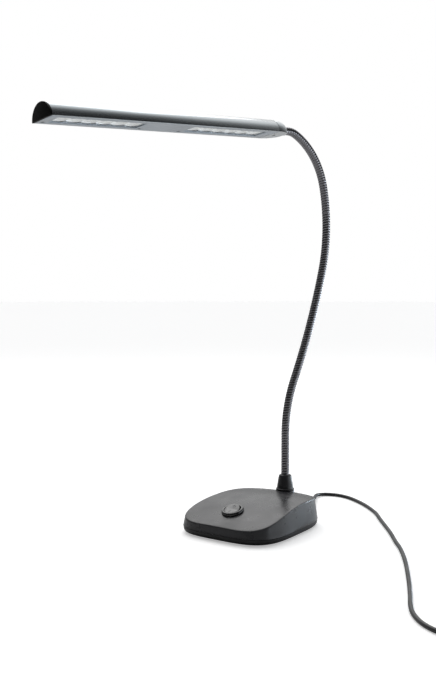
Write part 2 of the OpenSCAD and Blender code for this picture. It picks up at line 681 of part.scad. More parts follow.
module light_plate() color(grey_metal) in_head() difference() {
    union() {
        translate([-plate_half_w, free_end_y, flat_z]) cube([2 * plate_half_w, shell_l, plate_top]);
        translate([-flange_half_w, free_end_y, flat_z + shell_wall + fit])
            cube([2 * flange_half_w, shell_l, plate_top - shell_wall - fit]);
    }
    for (m = window_mids) {
        window_block(m, window_l, window_w, -1, plate_t + 1);
        intersection() {
            window_block(m, window_l, window_w, -1, plate_top + 2);
            for (y = cell_places(m)) translate([0, y, flat_z]) cylinder(r = scallop_r, h = plate_top + 1, $fn = round_fn);
        }
    }
    for (p = screw_places) translate([p.x, p.y, flat_z - 1]) {
        cylinder(r = 1.1 + slack, h = plate_top + 2, $fn = small_fn);
        cylinder(r = plate_head_r + fit, h = 1.9, $fn = small_fn);
    }
}

module plate_screws() color([0.25, 0.25, 0.26]) in_head() for (p = screw_places) translate([p.x, p.y, flat_z]) {
    cylinder(r = plate_head_r, h = 0.9, $fn = small_fn);
    cylinder(r = 1.1, h = reflector_z + cell_depth - 0.4, $fn = small_fn);
}

module window_pane(m) color([0.85, 0.9, 0.92, 0.5]) in_head()
    window_block(m, window_l + 2, window_w + 1.4, pane_z, pane_t);

module reflector(m) color("white") in_head() difference() {
    window_block(m, tray_l, 2 * tray_half_w, pane_z, pane_t + cell_depth);
    window_block(m, window_l + 2 + 2 * fit, window_w + 1.4 + 2 * fit, pane_z - 1, pane_t + 1);
    for (y = cell_places(m)) translate([0, y, flat_z + reflector_z]) {
        translate([0, 0, -0.01]) cylinder(r1 = cell_r, r2 = emitter_w, h = cell_depth - 0.6, $fn = round_fn);
        cylinder(r = emitter_w * 0.75, h = cell_depth + 1, $fn = small_fn);
    }
    for (side = [-1, 1]) translate([screw_x, m + side * screw_dy, flat_z])
        cylinder(r = 1.1 + fit, h = board_z + 1, $fn = small_fn);
}

module led_board(m) color([0.92, 0.93, 0.92]) in_head()
    window_block(m, window_l + 4, window_w - 3, board_z, board_t);

module emitters(m) color([0.98, 0.93, 0.7]) in_head() for (y = cell_places(m))
    translate([0, y, flat_z + board_z - 1.4]) {
        translate([-emitter_w / 2, -emitter_w / 2, 0.4]) cube([emitter_w, emitter_w, 1]);
        cylinder(r = emitter_w / 2 - 0.2, h = 0.5, $fn = small_fn);
    }

// ---- lead: the free stretch lies on the desk behind and beside the base

route = [[0, 84, 12.5], [0, 91, 12.4], [-1.5, 104, 11.1], [-5, 117, 9], [-11, 130, 7], [-17, 142, 5.4],
    [-23, 153, 4.2], [-27.5, 163, 3.2], [-28, 172, 2.5], [-22.5, 180, 2.1], [-12, 183.5, 2], [0, 182, 2],
    [13, 176, 2], [30, 165, 2], [48, 150.5, 2], [69, 130, 2], [86, 108.5, 2], [100, 91, 2], [115, 72.5, 2],
    [129.5, 53.5, 2], [144, 33.5, 2], [158, 15.5, 2], [177, -13, 2], [195, -43, 2], [217, -82, 2],
    [232, -110, 2], [244, -133, 2], [256, -151, 2], [272, -166, 2], [291, -175, 2.3], [312, -177, 2.8],
    [330, -177, 2.8]];

function unit(v) = v / norm(v);
function spline(a, b, c, d, t) = ((2 * b) + (c - a) * t + (2 * a - 5 * b + 4 * c - d) * t * t
    + (3 * b - a - 3 * c + d) * t * t * t) / 2;
function smooth(p, steps) = let(n = len(p)) concat([for (i = [0 : n - 2], k = [0 : steps - 1])
    spline(p[max(i - 1, 0)], p[i], p[i + 1], p[min(i + 2, n - 1)], k / steps)], [p[n - 1]]);
function tube_rings(path, r, sides) = let(n = len(path)) [for (i = [0 : n - 1])
    let(t = unit(path[min(i + 1, n - 1)] - path[max(i - 1, 0)]), side = unit(cross(t, [0, 0, 1])), up = cross(side, t))
    [for (j = [0 : sides - 1]) let(a = -360 * (j + 0.5) / sides) path[i] + r * (cos(a) * side + sin(a) * up)]];
function path_l(p) = len(p) < 2 ? 0 : [for (i = [1 : len(p) - 1]) norm(p[i] - p[i - 1])] * [for (i = [1 : len(p) - 1]) 1];

module lead() color([0.05, 0.05, 0.05]) loft(tube_rings(smooth(route, 2), lead_d / 2, 8));

// ---- lead: the rest is wound in four layers that spiral in and out
coil_place = [330, -150];
coil_outer = 27;
coil_step = 5;
layer_turns = 1.6875;
climb_turns = 0.5;
layers = 4;
coil_first_z = 2.8;
coil_inner = coil_outer - coil_step * layer_turns;
coil_turns = layers * layer_turns + (layers - 1) * climb_turns;
ring_per_turn = 24;

function coil_point(u) = let(
        period = layer_turns + climb_turns,
        k = min(floor(u / period), layers - 1),
        w = u - k * period,
        inwards = k % 2 == 0,
        r = w < layer_turns ? (inwards ? coil_outer - coil_step * w : coil_inner + coil_step * w)
            : (inwards ? coil_inner : coil_outer),
        z = coil_first_z + coil_step * (k + max(0, w - layer_turns) / climb_turns),
        a = 360 * u - 90)
    [coil_place.x + min(r, coil_outer) * cos(a), coil_place.y + min(r, coil_outer) * sin(a), z];
coil_loops = [for (i = [0 : ring_per_turn * coil_turns]) coil_point(i / ring_per_turn)];
adapter_x = coil_place.x + coil_outer;
adapter_y = -100;
relief_l = 18;
adapter_lead_z = adapter_h / 2;
coil_tail = [[adapter_x, -142, 17.2], [adapter_x, -132, 15], [adapter_x, -124, adapter_lead_z],
    [adapter_x, adapter_y - relief_l, adapter_lead_z]];
coil_path = concat(coil_loops, coil_tail);

// Least gap of the wound tube to itself, measured over points more than half a turn apart.
coil_gap = min([for (i = [0 : 2 : len(coil_loops) - 1], j = [i + 12 : len(coil_loops) - 1])
    norm(coil_loops[i] - coil_loops[j])]) - lead_d;
echo(coil_gap = coil_gap, free_lead = path_l(smooth(route, 6)), wound_lead = path_l(coil_path));

module lead_coil() color([0.05, 0.05, 0.05]) loft(tube_rings(coil_path, lead_d / 2, 6));

tie_t = 0.8;
tie_w = 7;
module lead_tie() color([0.1, 0.1, 0.1]) {
    bundle_in = coil_inner - lead_d / 2 - 0.5;
    bundle_out = coil_outer + lead_d / 2 + 0.1;
    bundle_h = (layers - 1) * coil_step + lead_d + 0.1;
    translate([coil_place.x - tie_w / 2, coil_place.y, 0]) rotate([90, 0, 90])
        linear_extrude(height = tie_w) difference() {
            translate([bundle_in - tie_t, 0]) square([bundle_out - bundle_in + 2 * tie_t, bundle_h + 2 * tie_t]);
            translate([bundle_in, tie_t]) square([bundle_out - bundle_in, bundle_h]);
        }
}

// ---- adapter, lying on its back beside the coil

cover_t = 3;
adapter_corner = 5;
pin_embed = 2;
pin_root_r = 1.5;

module adapter_block(z, h, inset) hull() for (x = [-1, 1], y = [0, 1])
    translate([adapter_x + x * (adapter_w / 2 - adapter_corner - inset),
        adapter_y + inset + adapter_corner + y * (adapter_l - 2 * adapter_corner - 2 * inset), z])
        cylinder(r = adapter_corner, h = h, $fn = small_fn);

module adapter_housing() color([0.08, 0.08, 0.08]) {
    hull() {
        adapter_block(1.2, adapter_h - cover_t - 1.2, 0);
        adapter_block(0, 1.2, 1.2);
    }
}

module adapter_cover() color([0.1, 0.1, 0.1]) difference() {
    adapter_block(adapter_h - cover_t, cover_t, 0.3);
    for (side = [-1, 1]) translate([adapter_x + side * mains_pin_gap / 2, adapter_y + adapter_l * 0.6, adapter_h - pin_embed])
        cylinder(r = pin_root_r + fit, h = 5, $fn = small_fn);
}

module adapter_pins() color([0.75, 0.75, 0.78]) for (side = [-1, 1])
    translate([adapter_x + side * mains_pin_gap / 2, adapter_y + adapter_l * 0.6, adapter_h]) {
        translate([0, 0, -pin_embed]) cylinder(r = pin_root_r, h = pin_embed + 1, $fn = small_fn);
        cylinder(r = mains_pin_r, h = mains_pin_l - mains_pin_r, $fn = small_fn);
        translate([0, 0, mains_pin_l - mains_pin_r]) sphere(r = mains_pin_r, $fn = small_fn);
    }

module adapter_relief() color([0.06, 0.06, 0.06])
    translate([adapter_x, adapter_y, adapter_lead_z]) rotate([90, 0, 0])
        rotate_extrude($fn = small_fn) polygon([[0, 0], [5, 0], [5, 2], [4.2, 2.6], [lead_d / 2 + 0.7, relief_l], [0, relief_l]]);

base_shell();
base_tray();
ballast_plate();
base_pad();
case_screws();
switch_housing();
switch_rocker();
switch_pin();
switch_terminals();
lead_bushing();
lead_clamp();
inner_lead();
neck_socket();
neck_washer();
neck_nut();
neck_collar();
for (k = [1 : bend_count + 1])
    color([0.12, 0.12, 0.13]) neck_length(k);
head_ferrule();
tail_cap();
tail_screw();
head_shell();
end_cap();
light_plate();
plate_screws();
for (k = [1, 2]) {
    reflector(window_mids[k - 1]);
    led_board(window_mids[k - 1]);
    emitters(window_mids[k - 1]);
    window_pane(window_mids[k - 1]);
}
lead();
lead_coil();
lead_tie();
adapter_relief();
adapter_housing();
adapter_cover();
adapter_pins();
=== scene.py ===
"""Piano lamp, dressed on its fixed frame: base, switch, flexible neck, light head, lead and adapter."""

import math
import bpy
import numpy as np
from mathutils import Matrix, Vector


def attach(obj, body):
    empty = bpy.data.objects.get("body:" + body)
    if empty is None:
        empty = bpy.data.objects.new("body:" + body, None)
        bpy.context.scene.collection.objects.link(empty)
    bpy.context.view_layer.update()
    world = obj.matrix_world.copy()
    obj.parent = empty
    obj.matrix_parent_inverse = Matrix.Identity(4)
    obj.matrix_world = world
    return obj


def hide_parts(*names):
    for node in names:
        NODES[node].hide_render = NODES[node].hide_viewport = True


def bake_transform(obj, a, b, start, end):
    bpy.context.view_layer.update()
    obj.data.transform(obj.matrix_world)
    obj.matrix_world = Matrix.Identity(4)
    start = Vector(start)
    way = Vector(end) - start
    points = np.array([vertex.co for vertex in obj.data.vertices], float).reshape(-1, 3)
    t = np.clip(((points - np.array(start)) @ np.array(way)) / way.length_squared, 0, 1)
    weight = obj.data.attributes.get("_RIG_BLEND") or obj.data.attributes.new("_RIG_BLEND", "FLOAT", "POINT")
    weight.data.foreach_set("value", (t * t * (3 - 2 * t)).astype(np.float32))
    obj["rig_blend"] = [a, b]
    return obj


bl_info = {
    "name": "Piano lamp",
    "version": (1, 0, 0),
    "blender": (4, 5, 0),
    "location": "3D View > Sidebar > Piano lamp",
    "description": "Builds the lamp's visible pieces, its materials and a plain studio",
    "category": "Object",
}

import bmesh
import bpy
from mathutils import Matrix, Vector

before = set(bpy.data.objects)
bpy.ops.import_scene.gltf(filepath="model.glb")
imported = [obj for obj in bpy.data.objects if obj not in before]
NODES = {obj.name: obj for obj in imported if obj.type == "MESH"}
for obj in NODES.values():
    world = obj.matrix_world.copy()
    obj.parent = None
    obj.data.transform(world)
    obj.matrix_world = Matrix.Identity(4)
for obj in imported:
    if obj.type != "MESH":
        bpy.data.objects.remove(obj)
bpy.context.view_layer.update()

MM = 0.001
METRES = Matrix.Scale(MM, 4)
TAU = 2 * math.pi


# ---------------------------------------------------------------- sizes that a user would change

def number(name, description, default, **more):
    return bpy.props.FloatProperty(name=name, description=description, default=default, **more)


def length(name, description, default):
    return number(name, description, default * MM, min=0.0, max=1.0,
                  subtype="DISTANCE", unit="LENGTH", precision=4)


def colour(name, description, default):
    return bpy.props.FloatVectorProperty(name=name, description=description, default=default,
                                         min=0.0, max=1.0, size=3, subtype="COLOR")


def angle(name, description, default):
    return number(name, description, math.radians(default), subtype="ANGLE", unit="ROTATION")


def screen(r, g, b):
    """A colour given as 0 to 255 on screen, as linear light."""
    def one(v):
        v /= 255
        return v / 12.92 if v <= 0.04045 else ((v + 0.055) / 1.055) ** 2.4
    return (one(r), one(g), one(b))


class LampBaseSettings(bpy.types.PropertyGroup):
    half_width: length("Half width", "Half the width of the base", 54.4)
    half_length: length("Half length", "Half the length of the base, front to rear", 68)
    corner: number("Corner", "Squareness of the outline's corners", 3.7)
    taper: number("Taper", "Share by which the base narrows to its rear", 0.126)
    lean: number("Lean", "Inward lean of the walls per unit of height", 0.144)
    parting: length("Parting", "Height of the joint between tray and shell", 7)
    crest: length("Crest", "Height of the highest line across the top", 33)
    crest_y: length("Crest place", "Place of that line behind the middle", 18.8)
    arch: length("Arch radius", "Radius of the top from front to rear", 204)
    crown: length("Crown radius", "Radius of the top from side to side", 512)
    edge: length("Edge rounding", "Rounding of the top's edge", 1.2)
    plastic: colour("Shell colour", "Colour of the shell's satin plastic", screen(52, 52, 54))
    tray_plastic: colour("Tray colour", "Colour of the tray's plastic", screen(15, 15, 16))


class LampSwitchSettings(bpy.types.PropertyGroup):
    bezel: length("Bezel radius", "Outer radius of the bezel", 11.4)
    bezel_height: length("Bezel height", "Height of the bezel above its seat", 3.0)
    opening: length("Opening radius", "Radius of the opening that holds the rocker", 8.9)
    mark: colour("Mark colour", "Colour of the off and on marks", screen(120, 122, 124))
    plastic: colour("Switch colour", "Colour of the switch's glossy plastic", screen(26, 26, 28))


class LampNeckSettings(bpy.types.PropertyGroup):
    radius: length("Radius", "Outer radius over the ribs", 4.3)
    groove: length("Groove", "Depth of the groove between ribs", 0.5)
    pitch: length("Pitch", "Distance from rib to rib", 2.75)
    sides: bpy.props.IntProperty(name="Sides", description="Points round the tube", default=28)
    metal: colour("Neck colour", "Colour of the black plated metal", screen(112, 111, 114))


class LampHeadSettings(bpy.types.PropertyGroup):
    half_width: length("Half width", "Half the width of the head", 16.7)
    height: length("Height", "Height of the head above its flat underside", 15.3)
    shell_length: length("Shell length", "Length of the half-round shell", 266)
    tail_length: length("Tail length", "Length of the tail cap", 21)
    window_length: length("Window length", "Length of one light window", 94)
    window_width: length("Window width", "Width of one light window", 19)
    cells: bpy.props.IntProperty(name="Cells", description="Light cells in one window", default=6)
    metal: colour("Head colour", "Colour of the head's satin metal", screen(156, 161, 164))
    cap: colour("Cap colour", "Colour of the end cap's plastic", screen(7, 9, 7))


class LampLeadSettings(bpy.types.PropertyGroup):
    diameter: length("Diameter", "Thickness of the lead", 4.0)
    sheath: colour("Lead colour", "Colour of the lead's sheath", screen(24, 24, 25))
    adapter: colour("Adapter colour", "Colour of the adapter's plastic", screen(26, 26, 27))


class LampStageSettings(bpy.types.PropertyGroup):
    focal: number("Focal length", "Camera lens in millimetres", 51.87)
    turn: angle("Camera turn", "Turn of the camera about the upright", 37.65)
    pitch: angle("Camera pitch", "Downward tilt of the camera", 3.725)
    place: bpy.props.FloatVectorProperty(name="Camera place", description="Where the camera stands",
                                         default=(0.59255, -0.83093, 0.25438), subtype="TRANSLATION")
    floor: colour("Floor colour", "Colour of the floor", (0.92, 0.92, 0.92))
    lift: number("Floor lift", "Light that the camera sees on the floor besides the studio's", 0.42,
                 min=0.0, max=1.0)


SETTINGS = {
    "lamp_base": LampBaseSettings,
    "lamp_switch": LampSwitchSettings,
    "lamp_neck": LampNeckSettings,
    "lamp_head": LampHeadSettings,
    "lamp_lead": LampLeadSettings,
    "lamp_stage": LampStageSettings,
}


# ---------------------------------------------------------------- places, as in the lamp's source

NECK_Y = 55.2
NECK_SEAT = 31.3788
NECK_START = 35.9788
NECK_YAW = math.radians(-12.8)
# The neck's arcs: each one's length, and the degrees by which it leans further back.
NECK_ARCS = [(54.6, 0.0), (61.0, 24.4), (121.6, -9.4), (94.8, -28.4), (69.6, -51.4), (12.0, -27.6), (5.0, 0.0)]
NECK_LENGTH = sum(run for run, _ in NECK_ARCS)
BEND_COUNT = 7
BEFORE_BENDS, AFTER_BENDS = 30, 24
BENDS = [BEFORE_BENDS + (NECK_LENGTH - BEFORE_BENDS - AFTER_BENDS) * k / (BEND_COUNT - 1) for k in range(BEND_COUNT)]
AXIS_ABOVE_FLAT = 5.2
HEAD_ROLL = math.radians(-5.6)
TAIL_SCREW_Y = -15
SWITCH_Y = -38.6
LEAD_Z = 12.5
LEAD_EXIT_Y = 84.0
WALL = 2.2  # thickness of the base's shell
BOSS = 9.9  # radius of the switch's barrel, and of the boss under the collar
STUD_HOLE = 5.05


def turn_x(a):
    return Matrix.Rotation(a, 4, "X")


def turn_y(a):
    return Matrix.Rotation(a, 4, "Y")


def turn_z(a):
    return Matrix.Rotation(a, 4, "Z")


def shift(x, y, z):
    return Matrix.Translation((x, y, z))


def neck_at(s):
    """Place along the neck: backward offset, height and heading from the upright."""
    v, z, h = 0.0, NECK_START, 0.0
    for k, (run, degrees) in enumerate(NECK_ARCS):
        last = k == len(NECK_ARCS) - 1
        part = s if last else min(s, run)
        a = math.radians(degrees)
        if a:
            r, b = run / a, a * part / run
            v += r * (math.cos(h) - math.cos(h + b))
            z += r * (math.sin(h + b) - math.sin(h))
            h += b
        else:
            v += part * math.sin(h)
            z += part * math.cos(h)
        if s <= run or last:
            return v, z, h
        s -= run


NECK_PLANE = shift(0, NECK_Y, 0) @ turn_z(NECK_YAW)
END_V, END_Z, END_H = neck_at(NECK_LENGTH)
HEAD = NECK_PLANE @ shift(0, END_V, END_Z) @ turn_x(-END_H - math.pi / 2) @ turn_y(HEAD_ROLL)
FLAT = HEAD @ shift(0, 0, -AXIS_ABOVE_FLAT)


def neck_point(s):
    v, z, _ = neck_at(s)
    return (NECK_PLANE @ Vector((0, v, z))) * MM


def top_z(x, y):
    b = bpy.context.scene.lamp_base
    return (b.crest - (y * MM - b.crest_y) ** 2 / (2 * b.arch) - (x * MM) ** 2 / (2 * b.crown)) / MM


# ---------------------------------------------------------------- mesh helpers, in millimetres

def circle(r, z, count, start=0.0):
    """Points round a circle; start says how far on the first one is, in steps."""
    return [Vector((r * math.cos(TAU * (i + start) / count), r * math.sin(TAU * (i + start) / count), z))
            for i in range(count)]


def quarter(count, first=0):
    """Cosines and sines on the way through a quarter turn."""
    return [(math.cos(math.pi / 2 * k / count), math.sin(math.pi / 2 * k / count)) for k in range(first, count + 1)]


def ring_faces(bm, rings):
    """Faces between rings of points, one row after the other; a ring of one point is a pole."""
    for a, b in zip(rings, rings[1:]):
        n = max(len(a), len(b))
        for i in range(n):
            j = (i + 1) % n
            if len(b) == 1:
                bm.faces.new((a[i], a[j], b[0]))
            elif len(a) == 1:
                bm.faces.new((a[0], b[j], b[i]))
            else:
                bm.faces.new((a[i], a[j], b[j], b[i]))


def loft(bm, rows, cap_first=False, cap_last=False, joined=False):
    """A skin through rows of points; joined rows close on the first one."""
    rings = [[bm.verts.new(p) for p in row] for row in rows]
    if joined:
        rings.append(rings[0])
    ring_faces(bm, rings)
    if cap_first:
        bm.faces.new(list(reversed(rings[0])))
    if cap_last:
        bm.faces.new(rings[-1])
    return rings


def placed(rows, matrix):
    return rows if matrix is None else [[matrix @ p for p in row] for row in rows]


def spin(bm, profile, count=64, matrix=None, closed=False):
    """A turned piece: profile is a list of (radius, height), poles where the radius is 0."""
    loft(bm, placed([circle(r, z, count if r else 1) for r, z in profile], matrix), joined=closed)


def slab(bm, x0, x1, y0, y1, z0, z1, matrix=None):
    corners = ((x0, y0), (x1, y0), (x1, y1), (x0, y1))
    loft(bm, placed([[Vector((x, y, z)) for x, y in corners] for z in (z0, z1)], matrix), True, True)


def rod(bm, r, z0, z1, count=32, matrix=None):
    spin(bm, [(0, z0), (r, z0), (r, z1), (0, z1)], count, matrix)


def close_at(bm, ring, z, shares=()):
    """Closes a ring with smaller copies of it, and a pole, at one height."""
    rings = [ring] + [[bm.verts.new((v.co.x * s, v.co.y * s, z)) for v in ring] for s in shares]
    ring_faces(bm, rings + [[bm.verts.new((0, 0, z))]])


def rounded(points, radius, steps=4):
    """A closed outline with its corners rounded."""
    out = []
    n = len(points)
    for i in range(n):
        a, b, c = (Vector(points[(i + k) % n]) for k in (-1, 0, 1))
        u, v = (a - b).normalized(), (c - b).normalized()
        cut = min(radius, (a - b).length * 0.45, (c - b).length * 0.45)
        for k in range(steps + 1):
            t = k / steps
            out.append(tuple(b + u * cut * (1 - t) ** 2 + v * cut * t ** 2))
    return out


# ---------------------------------------------------------------- pieces

def link(thing):
    bpy.context.scene.collection.objects.link(thing)
    return thing


def mesh_from(name, bm):
    mesh = bpy.data.meshes.new(name)
    bm.to_mesh(mesh)
    bm.free()
    return mesh


def baked(piece, **options):
    """The mesh that a piece shows with its modifiers."""
    graph = bpy.context.evaluated_depsgraph_get()
    return bpy.data.meshes.new_from_object(piece.evaluated_get(graph), depsgraph=graph, **options)


def settle(piece):
    """Applies a piece's modifiers and leaves a plain mesh."""
    mesh = baked(piece, preserve_all_data_layers=True)
    mesh.name = piece.name
    piece.modifiers.clear()
    old = piece.data
    piece.data = mesh
    if old.users == 0:
        bpy.data.meshes.remove(old)


def plain(name, bm):
    """A bare piece in metres from a bmesh in millimetres, still to be cut and finished."""
    bmesh.ops.recalc_face_normals(bm, faces=bm.faces)
    mesh = mesh_from(name, bm)
    mesh.transform(METRES)
    return link(bpy.data.objects.new(name, mesh))


def cut(piece, tool_bm):
    """Cuts a tool, given as a bmesh in millimetres, out of a piece in metres."""
    tool = plain("cutter", tool_bm)
    mod = piece.modifiers.new("Cut", "BOOLEAN")
    mod.operation = "DIFFERENCE"
    mod.solver = "EXACT"
    mod.object = tool
    settle(piece)
    mesh = tool.data
    bpy.data.objects.remove(tool)
    bpy.data.meshes.remove(mesh)


def shade(mesh, sharp):
    """Smooth shading, but for edges sharper than an angle in degrees."""
    mesh.polygons.foreach_set("use_smooth", [True] * len(mesh.polygons))
    mesh.set_sharp_from_angle(angle=math.radians(sharp))


def finish(piece, material, body, replaces=(), sharp=35, bevel=0.0, segments=2):
    """Gives a piece its material and soft edges, and tells the frame where it belongs."""
    piece.data.materials.clear()
    piece.data.materials.append(material)
    shade(piece.data, sharp)
    if bevel:
        mod = piece.modifiers.new("Soft edges", "BEVEL")
        mod.width = bevel * MM
        mod.segments = segments
        mod.limit_method = "ANGLE"
        mod.angle_limit = math.radians(sharp)
        mod.miter_outer = "MITER_ARC"
        settle(piece)
        piece.data.set_sharp_from_angle(angle=math.radians(sharp))
    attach(piece, body)
    if replaces:
        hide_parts(*replaces)
    return piece


def make(name, bm, material, body, replaces=(), sharp=35, bevel=0.0):
    """A whole piece from a bmesh in millimetres."""
    return finish(plain(name, bm), material, body, replaces, sharp, bevel)


def dressed(node, name, material, body, bevel=0.0, segments=2, reshape=None):
    """A smooth copy of a CAD node with soft edges, which stands for it."""
    bm = bmesh.new()
    bm.from_mesh(NODES[node].data)
    if reshape:
        for v in bm.verts:
            v.co = reshape(v.co)
    bmesh.ops.remove_doubles(bm, verts=bm.verts, dist=2e-6)
    bmesh.ops.dissolve_limit(bm, angle_limit=math.radians(0.6), verts=bm.verts, edges=bm.edges)
    bmesh.ops.dissolve_degenerate(bm, dist=1e-6, edges=bm.edges)
    piece = link(bpy.data.objects.new(name, mesh_from(name, bm)))
    return finish(piece, material, body, (node,), 30, bevel, segments)


# ---------------------------------------------------------------- node trees

def feed(tree, node, inputs):
    """Sets a node's inputs, each to a value or to another node's socket."""
    for key, value in inputs.items():
        if isinstance(value, bpy.types.NodeSocket):
            tree.links.new(value, node.inputs[key])
        else:
            node.inputs[key].default_value = value


def wire(tree, kind, inputs=None, **settings):
    """A new node with its settings and inputs."""
    node = tree.nodes.new(kind)
    for key, value in settings.items():
        setattr(node, key, value)
    feed(tree, node, inputs or {})
    return node


def maths(tree, operation, *values, kind="ShaderNodeMath"):
    return wire(tree, kind, dict(enumerate(values)), operation=operation).outputs[0]


# ---------------------------------------------------------------- materials

def surface(name, base, roughness, grain, grain_size, mottling, metallic=0.0, coat=0.0, specular=0.5,
            streak=(1, 1, 1), smudge=0.08, alpha=1.0):
    """A material with fine grain, uneven gloss and slightly uneven colour, in the piece's own coordinates."""
    material = bpy.data.materials.new(name)
    material.use_nodes = True
    tree = material.node_tree
    place = wire(tree, "ShaderNodeTexCoord").outputs["Object"]
    mapping = wire(tree, "ShaderNodeMapping", {"Vector": place, "Scale": streak})

    def noise(size, detail, rough):
        return wire(tree, "ShaderNodeTexNoise", {
            "Vector": mapping.outputs["Vector"], "Scale": 1.0 / (size * MM),
            "Detail": detail, "Roughness": rough}).outputs["Fac"]

    broad, fine = noise(22.0, 4.0, 0.55), noise(grain_size, 2.0, 0.6)
    gloss = wire(tree, "ShaderNodeMapRange", {
        "Value": broad, "From Min": 0.3, "From Max": 0.7,
        "To Min": max(0.02, roughness - smudge), "To Max": min(1.0, roughness + smudge)})
    blend = maths(tree, "MULTIPLY_ADD", fine, 0.6, maths(tree, "MULTIPLY", broad, 0.4))
    tint = wire(tree, "ShaderNodeMix", {
        "Factor": blend, "A": (*[c * (1 - mottling) for c in base], 1),
        "B": (*[min(1, c * (1 + mottling)) for c in base], 1)}, data_type="RGBA")
    shader = tree.nodes["Principled BSDF"]
    feed(tree, shader, {
        "Base Color": tint.outputs["Result"], "Roughness": gloss.outputs["Result"], "Metallic": metallic,
        "Coat Weight": coat, "Coat Roughness": 0.1, "Specular IOR Level": specular, "Alpha": alpha})
    if grain:
        bump = wire(tree, "ShaderNodeBump", {"Strength": 1.0, "Distance": grain * MM, "Height": fine})
        feed(tree, shader, {"Normal": bump.outputs["Normal"]})
    material.diffuse_color = (*base, 1)


def palette():
    """The lamp's finishes, made once."""
    made = bpy.data.materials
    if "Base plastic" in made:
        return made
    s = bpy.context.scene
    brushed = dict(metallic=0.95, streak=(1.0, 0.12, 1.0), smudge=0.05)
    full = dict(metallic=1.0)
    # Name, colour, roughness, depth and size of the grain in millimetres, mottling, and what is special.
    for name, base, roughness, grain, grain_size, mottling, special in (
        ("Base plastic", s.lamp_base.plastic, 0.3, 0.006, 0.5, 0.06, dict(specular=0.38)),
        ("Tray plastic", s.lamp_base.tray_plastic, 0.42, 0.015, 0.4, 0.1, dict(specular=0.3)),
        ("Pad rubber", screen(22, 22, 22), 0.8, 0.05, 0.6, 0.15, {}),
        ("Switch plastic", s.lamp_switch.plastic, 0.2, 0.004, 0.3, 0.06, dict(coat=0.2)),
        ("Switch mark", s.lamp_switch.mark, 0.45, 0.004, 0.2, 0.06, {}),
        ("Collar plastic", screen(40, 40, 43), 0.34, 0.012, 0.35, 0.08, {}),
        ("Neck metal", s.lamp_neck.metal, 0.24, 0.006, 0.5, 0.2, dict(metallic=0.95)),
        ("Bright metal", screen(205, 206, 208), 0.16, 0.002, 0.3, 0.03, full),
        ("Plated steel", screen(150, 152, 156), 0.3, 0.003, 0.3, 0.06, full),
        ("Dark screw", screen(60, 61, 63), 0.32, 0.003, 0.3, 0.08, full),
        ("Terminal brass", screen(196, 160, 88), 0.3, 0.003, 0.3, 0.08, full),
        ("Head metal", s.lamp_head.metal, 0.2, 0.006, 0.25, 0.06, brushed),
        ("Plate metal", screen(146, 153, 160), 0.3, 0.006, 0.25, 0.06, brushed),
        ("Cap plastic", s.lamp_head.cap, 0.5, 0.01, 0.3, 0.1, dict(specular=0.1)),
        ("Cell white", screen(242, 243, 242), 0.3, 0.004, 0.4, 0.02, {}),
        ("Board white", screen(222, 224, 220), 0.45, 0.006, 0.4, 0.03, {}),
        ("Emitter phosphor", screen(244, 222, 130), 0.3, 0.003, 0.2, 0.05, dict(coat=0.5)),
        ("Lead sheath", s.lamp_lead.sheath, 0.42, 0.01, 0.5, 0.1, {}),
        ("Adapter plastic", s.lamp_lead.adapter, 0.4, 0.02, 0.5, 0.1, {}),
        ("Pin sleeve", screen(30, 30, 31), 0.4, 0.005, 0.3, 0.08, {}),
        ("Clear pane", screen(236, 240, 242), 0.05, 0.0, 0.4, 0.0, dict(smudge=0.02, alpha=0.1)),
    ):
        surface(name, base, roughness, grain, grain_size, mottling, **special)
    return made


# ---------------------------------------------------------------- stage

STUDIO_UP = (-0.4, 0.45, 0.8)
STUDIO_LEVELS = ((0.0, 0.05), (0.4, 0.03), (0.6, 0.02), (0.7, 0.04), (0.8, 0.12), (0.86, 0.26), (0.9, 0.5),
                 (0.94, 0.72), (1.0, 0.9))
LAMPS = (
    ("key", (-0.7, 0.6, 1.6), (0, -0.05, 0.2), 1.3, 1.3, 8.0, (1, 0.99, 0.98)),
    ("rim", (0.3, 1.3, 0.08), (0, 0, 0.03), 0.5, 0.14, 4.0, (0.74, 0.88, 1)),
    ("side", (0.95, 0.74, 0.25), (0, 0, 0.25), 1.9, 0.4, 5.0, (0.88, 0.94, 1)),
)


